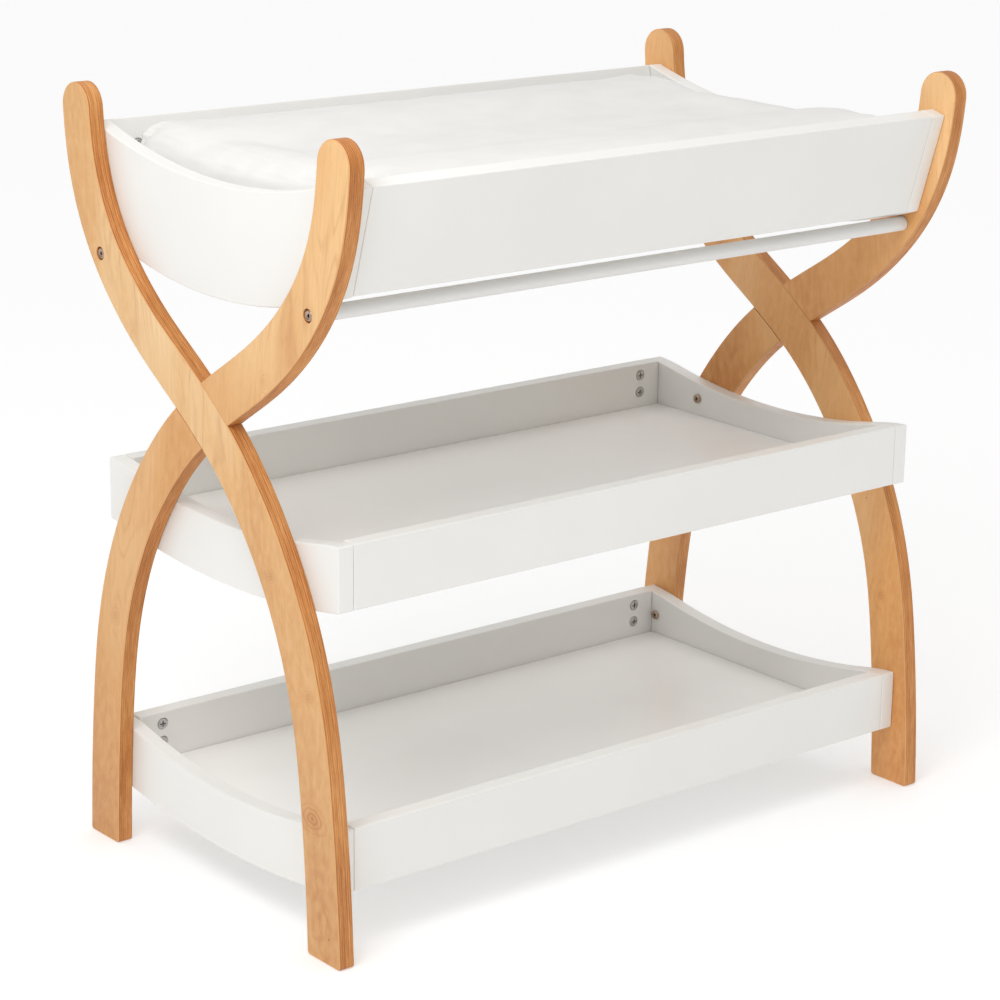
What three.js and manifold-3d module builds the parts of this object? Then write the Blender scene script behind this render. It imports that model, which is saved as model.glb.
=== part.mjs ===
// Changing table: two crossed-leg end frames of bent-profile plywood, three white
// trays, two round rails and a loose contoured pad.
//
// Units are millimetres. +Z is up, +X runs along the length of the table to the
// user's right, the user stands at -Y. The origin is on the floor under the centre.
//
// The end frames are identical: the right one is the left one turned half a turn
// about Z. In each frame two S-shaped legs cross in a halving joint, so the frame
// is one rigid, flat assembly. The trays are boxes of five boards held by cam
// fittings, bolted through their end boards into the legs.

import * as THREE from 'three';
import { mergeVertices } from 'three/addons/utils/BufferGeometryUtils.js';
import Module from 'manifold-3d';

const wasm = await Module();
wasm.setup();

// ---------------------------------------------------------------- dimensions

const GAP = 0.3;                 // air between pieces that touch

// end frames
const HALF_LENGTH = 470.5;       // outer face of each end frame
const LEG_T = 21;                // plywood thickness
const LEG_HEIGHT = 940;
const LEG_FOOT_EASE = 4;         // eased corners of the foot
// centre line of one leg, foot in front, head at the back: [height, depth]
const LEG_SPINE = [
  [0, -233.2], [90, -228.7], [180, -220.5], [270, -207.0], [350, -183.9],
  [430, -145.8], [500, -97.2], [560, -39.6], [610, 27.2], [660, 104.6],
  [720, 175.6], [790, 225.8], [860, 249.5], [940, 258.0],
];
// half the width of the leg across its centre line: [height, half width]
const LEG_WIDTH = [[0, 31.2], [250, 30.5], [480, 30.8], [600, 31.2], [740, 30.1], [940, 29.0]];

// trays: boards
const BOARD_T = 21;              // front, back and end boards
const BASE_T = 12;               // tray bottoms
const GROOVE = 5;                // the bottoms sit this deep in the boards
const TONGUE_T = 6;              // their edges are rebated to this thickness in the grooves
const END_OUT = HALF_LENGTH - LEG_T - GAP;   // outer face of every end board
const END_IN = END_OUT - BOARD_T;            // inner face of every end board
const SIDE_HALF = END_IN - GAP;              // half length of the front and back boards

// the two shelf trays are the same
const SHELF_Z = [76.4, 411.0];   // lower edge of the front boards
const SHELF_HALF_DEPTH = 235;
const SHELF_BOARD_H = 76.8;
const SHELF_END_TOP_DIP = 51;    // height of the end board's upper edge at its middle
const SHELF_END_TOP_R = 925;     // radius of that dip
const SHELF_END_BELLY = 22;      // how far the end board hangs below the front board
const SHELF_BASE_UP = 4;         // underside of the bottom above the front board's edge

// the top tray leans outwards
const TOP_Z = 763.8;             // outer lower edge of the front board
const TOP_HALF_BOTTOM = 234.4;   // outer face at that edge
const TOP_Z_UP = 887.9;          // outer upper edge of the front board
const TOP_HALF_UP = 270.4;
const TOP_END_DIP_Z = 854.1;     // upper edge of the end board at its middle
const TOP_END_BELLY_Z = 724.5;   // lower edge of the end board at its middle
const TOP_BASE_Z = 774;

// rails
const RAIL_D = 18;
const RAIL_Y = 209;
const RAIL_Z = 744.2;

// bolts
const BOLT_D = 6;
const BOLT_BORE_D = 6.8;
const RAIL_BOLT_RECESS_D = 16;
const RAIL_BOLT_RECESS = 4.5;
const RAIL_BOLT_HEAD_D = 13.6;
const RAIL_BOLT_HEAD = 3.4;
const RAIL_BOLT_IN_RAIL = 38;
const TRAY_BOLT_HEAD_D = 12.5;
const TRAY_BOLT_HEAD = 3.6;
const TRAY_BOLT_IN_LEG = 15;
// where the tray bolts enter a leg whose foot is in front: [depth, height]
const TRAY_BOLTS = { top: [211, 803], middle: [-133, 450], bottom: [-205, 119] };

// cam fittings
const CAM_D = 15;
const CAM_DEEP = 12.4;
const CAM_FROM_END = 34;         // cam centre from the end of its board
const CAM_SCREW_D = 6;
const CAM_SCREW_IN_END = 11;
const SHELF_CAM_UP = [37, 61];   // above the front board's lower edge
const TOP_CAM_DOWN = 33;         // below the board's upper edge, along the board

// pad
const PAD_HALF_LENGTH = 424;
const PAD_BOTTOM_Z = TOP_BASE_Z + BASE_T + 0.5;
const PAD_SIDE_TOP_Z = 886;      // crests along the front and back
const PAD_EDGE_TOP_Z = 885.5;    // where the sides start to round over
const PAD_MIDDLE_TOP_Z = 867.5;  // middle of the dish
const PAD_END_TOP_Z = 880.5;     // crests at the two ends
const PAD_END_DROP = 36;         // height of the rounded edge at the ends
const PAD_SIDE_DROP = 18;        // and along the sides
const PAD_CORNER_R = 44;

// ---------------------------------------------------------------- materials

const finish = {
  ply: () => new THREE.MeshStandardMaterial({ color: 0xe6bd8a, roughness: 0.5, metalness: 0 }),
  white: () => new THREE.MeshStandardMaterial({ color: 0xf2f1ee, roughness: 0.38, metalness: 0 }),
  rail: () => new THREE.MeshStandardMaterial({ color: 0xe9e8e4, roughness: 0.35, metalness: 0 }),
  pad: () => new THREE.MeshStandardMaterial({ color: 0xf7f6f4, roughness: 0.85, metalness: 0 }),
  bolt: () => new THREE.MeshStandardMaterial({ color: 0xb9a18d, roughness: 0.32, metalness: 1 }),
  cam: () => new THREE.MeshStandardMaterial({ color: 0xb4b2ae, roughness: 0.4, metalness: 1 }),
};

// ---------------------------------------------------------------- helpers

const root = new THREE.Group();

function addMesh(parent, name, geometry, material) {
  const mesh = new THREE.Mesh(geometry, material);
  mesh.name = name;
  parent.add(mesh);
  return mesh;
}

// closed geometry -> solid
function solid(geometry) {
  const g = geometry.clone();
  g.deleteAttribute('normal');
  g.deleteAttribute('uv');
  const m = mergeVertices(g, 1e-4);
  return new wasm.Manifold(new wasm.Mesh({
    numProp: 3,
    vertProperties: new Float32Array(m.attributes.position.array),
    triVerts: new Uint32Array(m.index.array),
  }));
}

// solid -> geometry
function geometryOf(manifold) {
  const m = manifold.getMesh();
  const g = new THREE.BufferGeometry();
  g.setAttribute('position', new THREE.BufferAttribute(new Float32Array(m.vertProperties), 3));
  g.setIndex(new THREE.BufferAttribute(new Uint32Array(m.triVerts), 1));
  g.computeVertexNormals();
  return g;
}

// profile given as [depth, height] points, extruded along X between x0 and x1
const YZ_ALONG_X = new THREE.Matrix4().set(0, 0, 1, 0, 1, 0, 0, 0, 0, 1, 0, 0, 0, 0, 0, 1);
function slab(points, x0, x1) {
  const shape = new THREE.Shape(points.map(([y, z]) => new THREE.Vector2(y, z)));
  const g = new THREE.ExtrudeGeometry(shape, { depth: x1 - x0, bevelEnabled: false, curveSegments: 4 });
  g.applyMatrix4(YZ_ALONG_X);
  g.translate(x0, 0, 0);
  return g;
}

function box(x0, x1, y0, y1, z0, z1) {
  const g = new THREE.BoxGeometry(x1 - x0, y1 - y0, z1 - z0);
  g.translate((x0 + x1) / 2, (y0 + y1) / 2, (z0 + z1) / 2);
  return g;
}

// round bar along X from x0 to x1, centred on (y, z)
function barX(x0, x1, y, z, d, sides) {
  const g = new THREE.CylinderGeometry(d / 2, d / 2, x1 - x0, sides);
  g.rotateZ(Math.PI / 2);
  g.translate((x0 + x1) / 2, y, z);
  return g;
}

// natural cubic spline through [t, value] rows
function spline(rows) {
  const n = rows.length;
  const t = rows.map((r) => r[0]);
  const v = rows.map((r) => r[1]);
  const a = new Array(n).fill(0);
  const b = new Array(n).fill(0);
  const m = new Array(n).fill(0);
  for (let i = 1; i < n - 1; i += 1) {
    const h0 = t[i] - t[i - 1];
    const h1 = t[i + 1] - t[i];
    const d = 6 * ((v[i + 1] - v[i]) / h1 - (v[i] - v[i - 1]) / h0);
    const w = 2 * (h0 + h1) - h0 * a[i - 1];
    a[i] = h1 / w;
    b[i] = (d - h0 * b[i - 1]) / w;
  }
  for (let i = n - 2; i > 0; i -= 1) m[i] = b[i] - a[i] * m[i + 1];
  return (x) => {
    let i = 0;
    while (i < n - 2 && x > t[i + 1]) i += 1;
    const h = t[i + 1] - t[i];
    const p = (t[i + 1] - x) / h;
    const q = (x - t[i]) / h;
    return p * v[i] + q * v[i + 1]
      + ((p * p * p - p) * m[i] + (q * q * q - q) * m[i + 1]) * h * h / 6;
  };
}

const smoothMin = (p, q, k) => {
  const h = Math.max(k - Math.abs(p - q), 0) / k;
  return Math.min(p, q) - h * h * k / 4;
};

// ---------------------------------------------------------------- legs

const spineDepth = spline(LEG_SPINE);
const spineWidth = spline(LEG_WIDTH);

// outline of one leg, foot in front, grown outwards by `grow`; closed, in [depth, height]
function legOutline(grow = 0, rows = 30) {
  const headR = spineWidth(LEG_HEIGHT) + grow;
  const headZ = LEG_HEIGHT - spineWidth(LEG_HEIGHT);
  const sides = { back: [], front: [] };
  for (let i = 0; i <= rows; i += 1) {
    const z = -12 + (headZ + 12) * (i / rows);
    const y = spineDepth(z);
    const s = (spineDepth(z + 0.5) - spineDepth(z - 0.5));
    const k = (spineWidth(z) + grow) / Math.hypot(1, s);
    sides.back.push([y + k, z - s * k]);
    sides.front.push([y - k, z + s * k]);
  }
  const cut = (line) => {
    const out = [];
    for (let i = 0; i < line.length; i += 1) {
      if (line[i][1] > LEG_FOOT_EASE + 2) { out.push(line[i]); }
    }
    const first = line.findIndex((p) => p[1] > LEG_FOOT_EASE + 2);
    const [p, q] = [line[first - 1], line[first]];
    const at = (z) => p[0] + (q[0] - p[0]) * (z - p[1]) / (q[1] - p[1]);
    return { rest: out, at };
  };
  const back = cut(sides.back);
  const front = cut(sides.front);
  const e = LEG_FOOT_EASE;
  const foot = [
    [front.at(e), e], [front.at(0) + e * 0.3, e * 0.3], [front.at(0) + e, 0],
    [back.at(0) - e, 0], [back.at(0) - e * 0.3, e * 0.3], [back.at(e), e],
  ];
  const c = [spineDepth(headZ), headZ];
  const lean = Math.atan(spineDepth(headZ + 0.5) - spineDepth(headZ - 0.5));
  const head = [];
  for (let i = 1; i < 12; i += 1) {
    const a = -lean + Math.PI * (i / 12);
    head.push([c[0] + headR * Math.cos(a), c[1] + headR * Math.sin(a)]);
  }
  return [...foot, ...back.rest, ...head, ...front.rest.reverse()];
}

const mirrored = (points) => points.map(([y, z]) => [-y, z]).reverse();

// One leg of the left frame. The lap leg that keeps its outer half runs from the
// front foot to the back head; its partner keeps the inner half.
function makeLeg(keepsOuter) {
  const x0 = -HALF_LENGTH;
  const x1 = -HALF_LENGTH + LEG_T;
  const mid = (x0 + x1) / 2;
  const own = legOutline();
  const other = legOutline(GAP, 30);
  const flip = keepsOuter ? 1 : -1;
  const body = slab(keepsOuter ? own : mirrored(own), x0, x1);
  const notch = keepsOuter
    ? slab(mirrored(other), mid - GAP / 2, x1 + 5)
    : slab(other, x0 - 5, mid + GAP / 2);
  let s = solid(body).subtract(solid(notch));
  // rail bolt: through bore with a round recess in the outer face
  s = s.subtract(solid(barX(x0 - 1, x1 + 1, flip * RAIL_Y, RAIL_Z, BOLT_BORE_D, 8)));
  s = s.subtract(solid(barX(x0 - 1, x0 + RAIL_BOLT_RECESS, flip * RAIL_Y, RAIL_Z, RAIL_BOLT_RECESS_D, 20)));
  // tray bolts: blind bores from the inner face
  for (const [y, z] of Object.values(TRAY_BOLTS)) {
    s = s.subtract(solid(barX(x1 - TRAY_BOLT_IN_LEG - 1, x1 + 1, flip * y, z, BOLT_BORE_D, 8)));
  }
  return geometryOf(s);
}

// headed bolt along +X, underside of the head at x = 0, hexagon socket
function boltSolid(headD, headH, shank) {
  const r = headD / 2;
  const profile = [
    [0, -headH], [r * 0.66, -headH], [r, -headH * 0.35],
    [r, 0], [BOLT_D / 2, 0], [BOLT_D / 2, shank], [0, shank],
  ].map(([a, b]) => new THREE.Vector2(a, b));
  const g = new THREE.LatheGeometry(profile, 12);
  g.rotateZ(-Math.PI / 2);
  const socket = barX(-headH - 1, -headH + 2.2, 0, 0, 4.8, 6);
  return solid(g).subtract(solid(socket));
}

function makeFrame(group, names) {
  addMesh(group, names.outerLap, makeLeg(true), finish.ply());
  addMesh(group, names.innerLap, makeLeg(false), finish.ply());
  const seat = -HALF_LENGTH + RAIL_BOLT_RECESS - GAP;
  const shank = LEG_T - RAIL_BOLT_RECESS + RAIL_BOLT_IN_RAIL;
  names.railBolts.forEach((name, i) => {
    const bolt = geometryOf(boltSolid(RAIL_BOLT_HEAD_D, RAIL_BOLT_HEAD, shank));
    // the head sits in the recess and the shank points inwards, to +X
    const mesh = addMesh(group, name, bolt, finish.bolt());
    mesh.position.set(seat, (i ? 1 : -1) * RAIL_Y, RAIL_Z);
  });
}

const leftFrame = new THREE.Group();
makeFrame(leftFrame, {
  outerLap: 'leg_front_left',
  innerLap: 'leg_back_left',
  railBolts: ['rail_bolt_front_left', 'rail_bolt_back_left'],
});
const rightFrame = new THREE.Group();
rightFrame.rotation.z = Math.PI;
makeFrame(rightFrame, {
  outerLap: 'leg_back_right',
  innerLap: 'leg_front_right',
  railBolts: ['rail_bolt_back_right', 'rail_bolt_front_right'],
});
root.add(leftFrame, rightFrame);

// ---------------------------------------------------------------- rails

for (const [name, y] of [['rail_front', -RAIL_Y], ['rail_back', RAIL_Y]]) {
  const half = HALF_LENGTH - LEG_T - GAP;
  let s = solid(barX(-half, half, 0, 0, RAIL_D, 24));
  for (const k of [-1, 1]) {
    s = s.subtract(solid(barX(k > 0 ? half - RAIL_BOLT_IN_RAIL - 3 : -half - 1,
      k > 0 ? half + 1 : -half + RAIL_BOLT_IN_RAIL + 3, 0, 0, BOLT_BORE_D, 8)));
  }
  addMesh(root, name, geometryOf(s), finish.rail()).position.set(0, y, RAIL_Z);
}

// ---------------------------------------------------------------- cam fittings

// Cam disc and its screw as they sit in a front board: the disc's flat face looks
// along +Y at y = 0, the screw runs to +X for `reach`. One closed body.
function camSolid(reach) {
  const disc = new THREE.CylinderGeometry(CAM_D / 2 - GAP, CAM_D / 2 - GAP, CAM_DEEP - GAP, 12);
  disc.translate(0, -(CAM_DEEP - GAP) / 2, 0);
  const screw = barX(2, reach, -BOARD_T / 2, 0, CAM_SCREW_D, 6);
  let s = solid(disc);
  // the screw's head end lies inside the cam
  s = s.add(solid(screw));
  // cross recess
  s = s.subtract(solid(box(-4.2, 4.2, -2.2, 1, -1, 1)));
  s = s.subtract(solid(box(-1, 1, -2.2, 1, -4.2, 4.2)));
  return s;
}

// bores for one cam: disc bore into the inner face (y = 0) and the screw's bore to
// the end of the board, both centred on x = 0
function camBore(reachToEnd) {
  const disc = new THREE.CylinderGeometry(CAM_D / 2, CAM_D / 2, CAM_DEEP + 1, 12);
  disc.translate(0, -(CAM_DEEP + 1) / 2 + 1, 0);
  return solid(disc).add(solid(barX(2, reachToEnd + 1, -BOARD_T / 2, 0, CAM_SCREW_D + 1.6, 6)));
}

// Tray bottom with a rebated edge: the tongue lies in the boards' grooves, the top
// face ends just short of them. hy is the tongue's half depth, z0 the underside.
function bottomBoard(hy, z0) {
  const hx = END_IN + GROOVE - GAP;
  const tongue = solid(box(-hx, hx, -hy, hy, z0, z0 + TONGUE_T));
  const field = solid(box(-(END_IN - GAP), END_IN - GAP, -(hy - GROOVE), hy - GROOVE, z0, z0 + BASE_T));
  return geometryOf(tongue.add(field));
}

const asMatrix = (m) => m.elements;
const placed = (s, matrix) => s.transform(asMatrix(matrix));

// ---------------------------------------------------------------- shelf trays

const round = (v) => v * v;

function shelfEndOutline() {
  const h = SHELF_HALF_DEPTH;
  const bellyR = (h * h + round(SHELF_END_BELLY)) / (2 * SHELF_END_BELLY);
  const pts = [];
  const n = 16;
  for (let i = 0; i <= n; i += 1) {
    const y = -h + (2 * h * i) / n;
    pts.push([y, bellyR - SHELF_END_BELLY - Math.sqrt(bellyR * bellyR - y * y)]);
  }
  const top = (y) => smoothMin(SHELF_BOARD_H,
    SHELF_END_TOP_DIP + SHELF_END_TOP_R - Math.sqrt(round(SHELF_END_TOP_R) - y * y), 7);
  pts.push([h, SHELF_BOARD_H]);
  const flat = h - 8;
  const steps = [1, 0.955, 0.91, 0.86, 0.78, 0.66, 0.52, 0.38, 0.24, 0.1];
  for (const s of steps) pts.push([flat * s, top(flat * s)]);
  for (const s of steps.slice().reverse()) pts.push([-flat * s, top(flat * s)]);
  pts.push([-h, SHELF_BOARD_H]);
  return pts;
}

// places of the cam fittings of a tray in the front board's own frame
// (x along the board, y = 0 on the inner face)
const camRows = (heights) => {
  const rows = [];
  for (const side of [-1, 1]) for (const h of heights) rows.push([side, h]);
  return rows;
};

function boltAt(group, name, y, z, side) {
  // the head lies on the inner face of the end board, the shank points outwards
  const shank = BOARD_T + GAP + TRAY_BOLT_IN_LEG - 1;
  const mesh = addMesh(group, name, geometryOf(boltSolid(TRAY_BOLT_HEAD_D, TRAY_BOLT_HEAD, shank)), finish.bolt());
  mesh.position.set(side * (END_IN - GAP), y, z);
  mesh.rotation.z = side > 0 ? 0 : Math.PI;
  return mesh;
}

function makeTray(prefix, parts) {
  const group = new THREE.Group();
  const { frontBoard, endBoard, base, cams, bolts } = parts;
  addMesh(group, `${prefix}_front`, frontBoard(), finish.white());
  addMesh(group, `${prefix}_back`, frontBoard(), finish.white()).rotation.z = Math.PI;
  addMesh(group, `${prefix}_end_left`, endBoard(), finish.white());
  addMesh(group, `${prefix}_end_right`, endBoard(), finish.white()).rotation.z = Math.PI;
  addMesh(group, `${prefix}_base`, base(), finish.white());
  for (const [boardName, turn] of [['front', 0], ['back', Math.PI]]) {
    const holder = new THREE.Group();
    holder.rotation.z = turn;
    for (const c of cams) {
      const side = (c.side > 0) === (turn === 0) ? 'right' : 'left';
      const mesh = addMesh(holder, `${prefix}_cam_${boardName}_${side}${c.tag}`, c.geometry(), finish.cam());
      mesh.applyMatrix4(c.matrix);
    }
    group.add(holder);
  }
  for (const [y, z] of bolts) {
    for (const side of [-1, 1]) for (const k of [-1, 1]) {
      const name = `${prefix}_bolt_${k < 0 ? 'front' : 'back'}_${side < 0 ? 'left' : 'right'}`;
      boltAt(group, name, k * Math.abs(y), z, side);
    }
  }
  return group;
}

const CAM_REACH = CAM_FROM_END + GAP + CAM_SCREW_IN_END;

function shelfTray(prefix, z0, bolt) {
  const inner = -(SHELF_HALF_DEPTH - BOARD_T);      // inner face of the front board
  const groove0 = SHELF_BASE_UP - GAP;
  const groove1 = SHELF_BASE_UP + TONGUE_T + GAP;
  const camMatrix = (side, h) => {
    const m = new THREE.Matrix4().makeTranslation(side * (SIDE_HALF - CAM_FROM_END), inner, h);
    if (side < 0) m.multiply(new THREE.Matrix4().makeScale(-1, 1, 1));
    return m;
  };
  const frontBoard = () => {
    let s = solid(slab([
      [-SHELF_HALF_DEPTH, 0], [inner, 0], [inner, groove0], [inner - GROOVE, groove0],
      [inner - GROOVE, groove1], [inner, groove1], [inner, SHELF_BOARD_H], [-SHELF_HALF_DEPTH, SHELF_BOARD_H],
    ], -SIDE_HALF, SIDE_HALF));
    for (const [side, h] of camRows(SHELF_CAM_UP)) s = s.subtract(placed(camBore(CAM_FROM_END), camMatrix(side, h)));
    return geometryOf(s);
  };
  const endBoard = () => {
    let s = solid(slab(shelfEndOutline(), -END_OUT, -END_IN));
    s = s.subtract(solid(box(-END_IN - GROOVE, -END_IN + 1, -(SHELF_HALF_DEPTH - BOARD_T + GROOVE), SHELF_HALF_DEPTH - BOARD_T + GROOVE, groove0, groove1)));
    for (const k of [-1, 1]) {
      s = s.subtract(solid(barX(-END_OUT - 1, -END_IN + 1, k * Math.abs(bolt[0]), bolt[1] - z0, BOLT_BORE_D, 8)));
      for (const h of SHELF_CAM_UP) {
        s = s.subtract(solid(barX(-END_IN - CAM_SCREW_IN_END - 1, -END_IN + 1, k * (SHELF_HALF_DEPTH - BOARD_T / 2), h, CAM_SCREW_D + 1.6, 6)));
      }
    }
    return geometryOf(s);
  };
  const base = () => bottomBoard(SHELF_HALF_DEPTH - BOARD_T + GROOVE - GAP, SHELF_BASE_UP);
  const cams = camRows(SHELF_CAM_UP).map(([side, h]) => ({
    side,
    tag: h === SHELF_CAM_UP[0] ? '_low' : '_high',
    geometry: () => (side > 0 ? geometryOf(camSolid(CAM_REACH)) : geometryOf(placed(camSolid(CAM_REACH), new THREE.Matrix4().makeScale(-1, 1, 1)))),
    matrix: new THREE.Matrix4().makeTranslation(side * (SIDE_HALF - CAM_FROM_END), inner, h),
  }));
  const tray = makeTray(prefix, { frontBoard, endBoard, base, cams, bolts: [[bolt[0], bolt[1] - z0]] });
  tray.position.z = z0;
  root.add(tray);
}

shelfTray('bottom_tray', SHELF_Z[0], TRAY_BOLTS.bottom);
shelfTray('middle_tray', SHELF_Z[1], TRAY_BOLTS.middle);

// ---------------------------------------------------------------- top tray

const lean = Math.atan2(TOP_HALF_UP - TOP_HALF_BOTTOM, TOP_Z_UP - TOP_Z);
// a point of the front board: `up` along the board from its outer lower edge,
// `inward` through its thickness
const onFrontBoard = (up, inward) => [
  -TOP_HALF_BOTTOM - up * Math.sin(lean) + inward * Math.cos(lean),
  TOP_Z + up * Math.cos(lean) + inward * Math.sin(lean),
];
const TOP_BOARD_H = Math.hypot(TOP_HALF_UP - TOP_HALF_BOTTOM, TOP_Z_UP - TOP_Z);
const innerFaceY = (z) => {
  const [y0, z0] = onFrontBoard(0, BOARD_T);
  return y0 - (z - z0) * Math.tan(lean);
};

function topEndOutline() {
  const c0 = TOP_HALF_BOTTOM;
  const belly = TOP_Z - TOP_END_BELLY_Z;
  const bellyR = (c0 * c0 + belly * belly) / (2 * belly);
  const [yi, zi] = onFrontBoard(TOP_BOARD_H, BOARD_T);
  const dip = zi - TOP_END_DIP_Z;
  const dipR = (yi * yi + dip * dip) / (2 * dip);
  const pts = [];
  for (let i = 0; i <= 18; i += 1) {
    const y = -c0 + (2 * c0 * i) / 18;
    pts.push([y, TOP_END_BELLY_Z + bellyR - Math.sqrt(bellyR * bellyR - y * y)]);
  }
  pts.push([TOP_HALF_UP, TOP_Z_UP]);
  for (let i = 0; i <= 18; i += 1) {
    const y = -yi + (2 * yi * i) / 18;
    pts.push([y, TOP_END_DIP_Z + dipR - Math.sqrt(dipR * dipR - y * y)]);
  }
  pts.push([-TOP_HALF_UP, TOP_Z_UP]);
  return pts;
}

{
  const groove0 = TOP_BASE_Z - GAP;
  const groove1 = TOP_BASE_Z + TONGUE_T + GAP;
  const grooveY = innerFaceY(TOP_BASE_Z) - GROOVE;
  const camUp = TOP_BOARD_H - TOP_CAM_DOWN;
  // the cam's own frame laid on the leaning inner face
  const camPlace = (side) => {
    const [y, z] = onFrontBoard(camUp, BOARD_T);
    return new THREE.Matrix4().makeTranslation(side * (SIDE_HALF - CAM_FROM_END), y, z)
      .multiply(new THREE.Matrix4().makeRotationX(lean));
  };
  const mirrorX = new THREE.Matrix4().makeScale(-1, 1, 1);
  const frontBoard = () => {
    let s = solid(slab([
      onFrontBoard(0, 0), onFrontBoard(0, BOARD_T), [innerFaceY(groove0), groove0], [grooveY, groove0],
      [grooveY, groove1], [innerFaceY(groove1), groove1], onFrontBoard(TOP_BOARD_H, BOARD_T), onFrontBoard(TOP_BOARD_H, 0),
    ], -SIDE_HALF, SIDE_HALF));
    for (const side of [-1, 1]) {
      const m = camPlace(side);
      s = s.subtract(placed(camBore(CAM_FROM_END), side > 0 ? m : m.clone().multiply(mirrorX)));
    }
    return geometryOf(s);
  };
  const endBoard = () => {
    let s = solid(slab(topEndOutline(), -END_OUT, -END_IN));
    s = s.subtract(solid(box(-END_IN - GROOVE, -END_IN + 1, grooveY, -grooveY, groove0, groove1)));
    const [y, z] = onFrontBoard(camUp, BOARD_T / 2);
    for (const k of [-1, 1]) {
      s = s.subtract(solid(barX(-END_OUT - 1, -END_IN + 1, k * TRAY_BOLTS.top[0], TRAY_BOLTS.top[1], BOLT_BORE_D, 8)));
      s = s.subtract(solid(barX(-END_IN - CAM_SCREW_IN_END - 1, -END_IN + 1, k * y, z, CAM_SCREW_D + 2, 8)));
    }
    return geometryOf(s);
  };
  const base = () => bottomBoard(-grooveY - GAP, TOP_BASE_Z);
  const cams = [-1, 1].map((side) => ({
    side,
    tag: '',
    geometry: () => (side > 0 ? geometryOf(camSolid(CAM_REACH)) : geometryOf(placed(camSolid(CAM_REACH), mirrorX))),
    matrix: camPlace(side),
  }));
  root.add(makeTray('top_tray', { frontBoard, endBoard, base, cams, bolts: [TRAY_BOLTS.top] }));
}

// ---------------------------------------------------------------- pad

// A box with many faces whose points are moved: rounded corners in plan, sides that
// follow the leaning boards, rounded upper edges and a dished top.
{
  const nx = 12;
  const ny = 12;
  const nz = 2;
  const g = new THREE.BoxGeometry(2, 2, 1, nx, ny, nz);
  const p = g.attributes.position;
  const clear = 1.6;
  for (let i = 0; i < p.count; i += 1) {
    let u = p.getX(i);
    let v = p.getY(i);
    const w = p.getZ(i) + 0.5;
    // crowd the rows towards the edges
    u = Math.sign(u) * (1 - (1 - Math.abs(u)) ** 1.5);
    v = Math.sign(v) * (1 - (1 - Math.abs(v)) ** 1.6);
    const rise = THREE.MathUtils.smoothstep(Math.abs(v), 0.2, 0.64);
    const fall = THREE.MathUtils.smoothstep(Math.abs(v), 0.64, 0.9);
    const end = THREE.MathUtils.smoothstep(Math.abs(u), 0.7, 0.895);
    const side = PAD_MIDDLE_TOP_Z + (PAD_SIDE_TOP_Z - PAD_MIDDLE_TOP_Z) * rise
      - (PAD_SIDE_TOP_Z - PAD_EDGE_TOP_Z) * fall;
    let crest = Math.max(side, PAD_MIDDLE_TOP_Z + (PAD_END_TOP_Z - PAD_MIDDLE_TOP_Z) * end);
    // rounding of the upper edge
    const eu = Math.max((Math.abs(u) - 0.885) / 0.115, 0);
    const ev = Math.max((Math.abs(v) - 0.93) / 0.07, 0);
    const du = PAD_END_DROP * (1 - Math.sqrt(Math.max(0, 1 - eu * eu)));
    const dv = PAD_SIDE_DROP * (1 - Math.sqrt(Math.max(0, 1 - ev * ev)));
    crest -= Math.min(Math.hypot(du, dv), PAD_END_DROP);
    const z = PAD_BOTTOM_Z + (crest - PAD_BOTTOM_Z) * w;
    const half = -innerFaceY(z) - clear;
    let x = u * PAD_HALF_LENGTH;
    let y = v * half;
    // round the corners in plan
    const cx = Math.abs(x) - (PAD_HALF_LENGTH - PAD_CORNER_R);
    const cy = Math.abs(y) - (half - PAD_CORNER_R);
    if (cx > 0 && cy > 0) {
      const m = Math.max(cx, cy);
      const k = m / Math.hypot(cx, cy);
      x = Math.sign(x) * (PAD_HALF_LENGTH - PAD_CORNER_R + cx * k);
      y = Math.sign(y) * (half - PAD_CORNER_R + cy * k);
    }
    p.setXYZ(i, x, y, z);
  }
  g.computeVertexNormals();
  addMesh(root, 'pad', g, finish.pad());
}

export default root;
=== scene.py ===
import math

import bmesh
import bpy
import numpy as np
from mathutils import Matrix, Vector


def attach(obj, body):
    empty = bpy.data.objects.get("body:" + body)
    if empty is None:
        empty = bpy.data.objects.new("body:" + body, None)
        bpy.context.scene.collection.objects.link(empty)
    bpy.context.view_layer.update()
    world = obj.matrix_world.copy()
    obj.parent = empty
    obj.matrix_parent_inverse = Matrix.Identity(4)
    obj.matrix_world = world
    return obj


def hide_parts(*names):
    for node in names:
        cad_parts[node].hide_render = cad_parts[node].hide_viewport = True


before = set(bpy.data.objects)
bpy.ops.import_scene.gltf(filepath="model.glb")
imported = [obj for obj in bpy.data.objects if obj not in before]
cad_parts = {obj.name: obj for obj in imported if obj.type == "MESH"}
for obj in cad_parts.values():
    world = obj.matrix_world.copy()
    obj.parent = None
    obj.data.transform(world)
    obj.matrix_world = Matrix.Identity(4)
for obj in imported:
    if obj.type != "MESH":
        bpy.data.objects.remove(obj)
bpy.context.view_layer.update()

MM = 0.001

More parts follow.
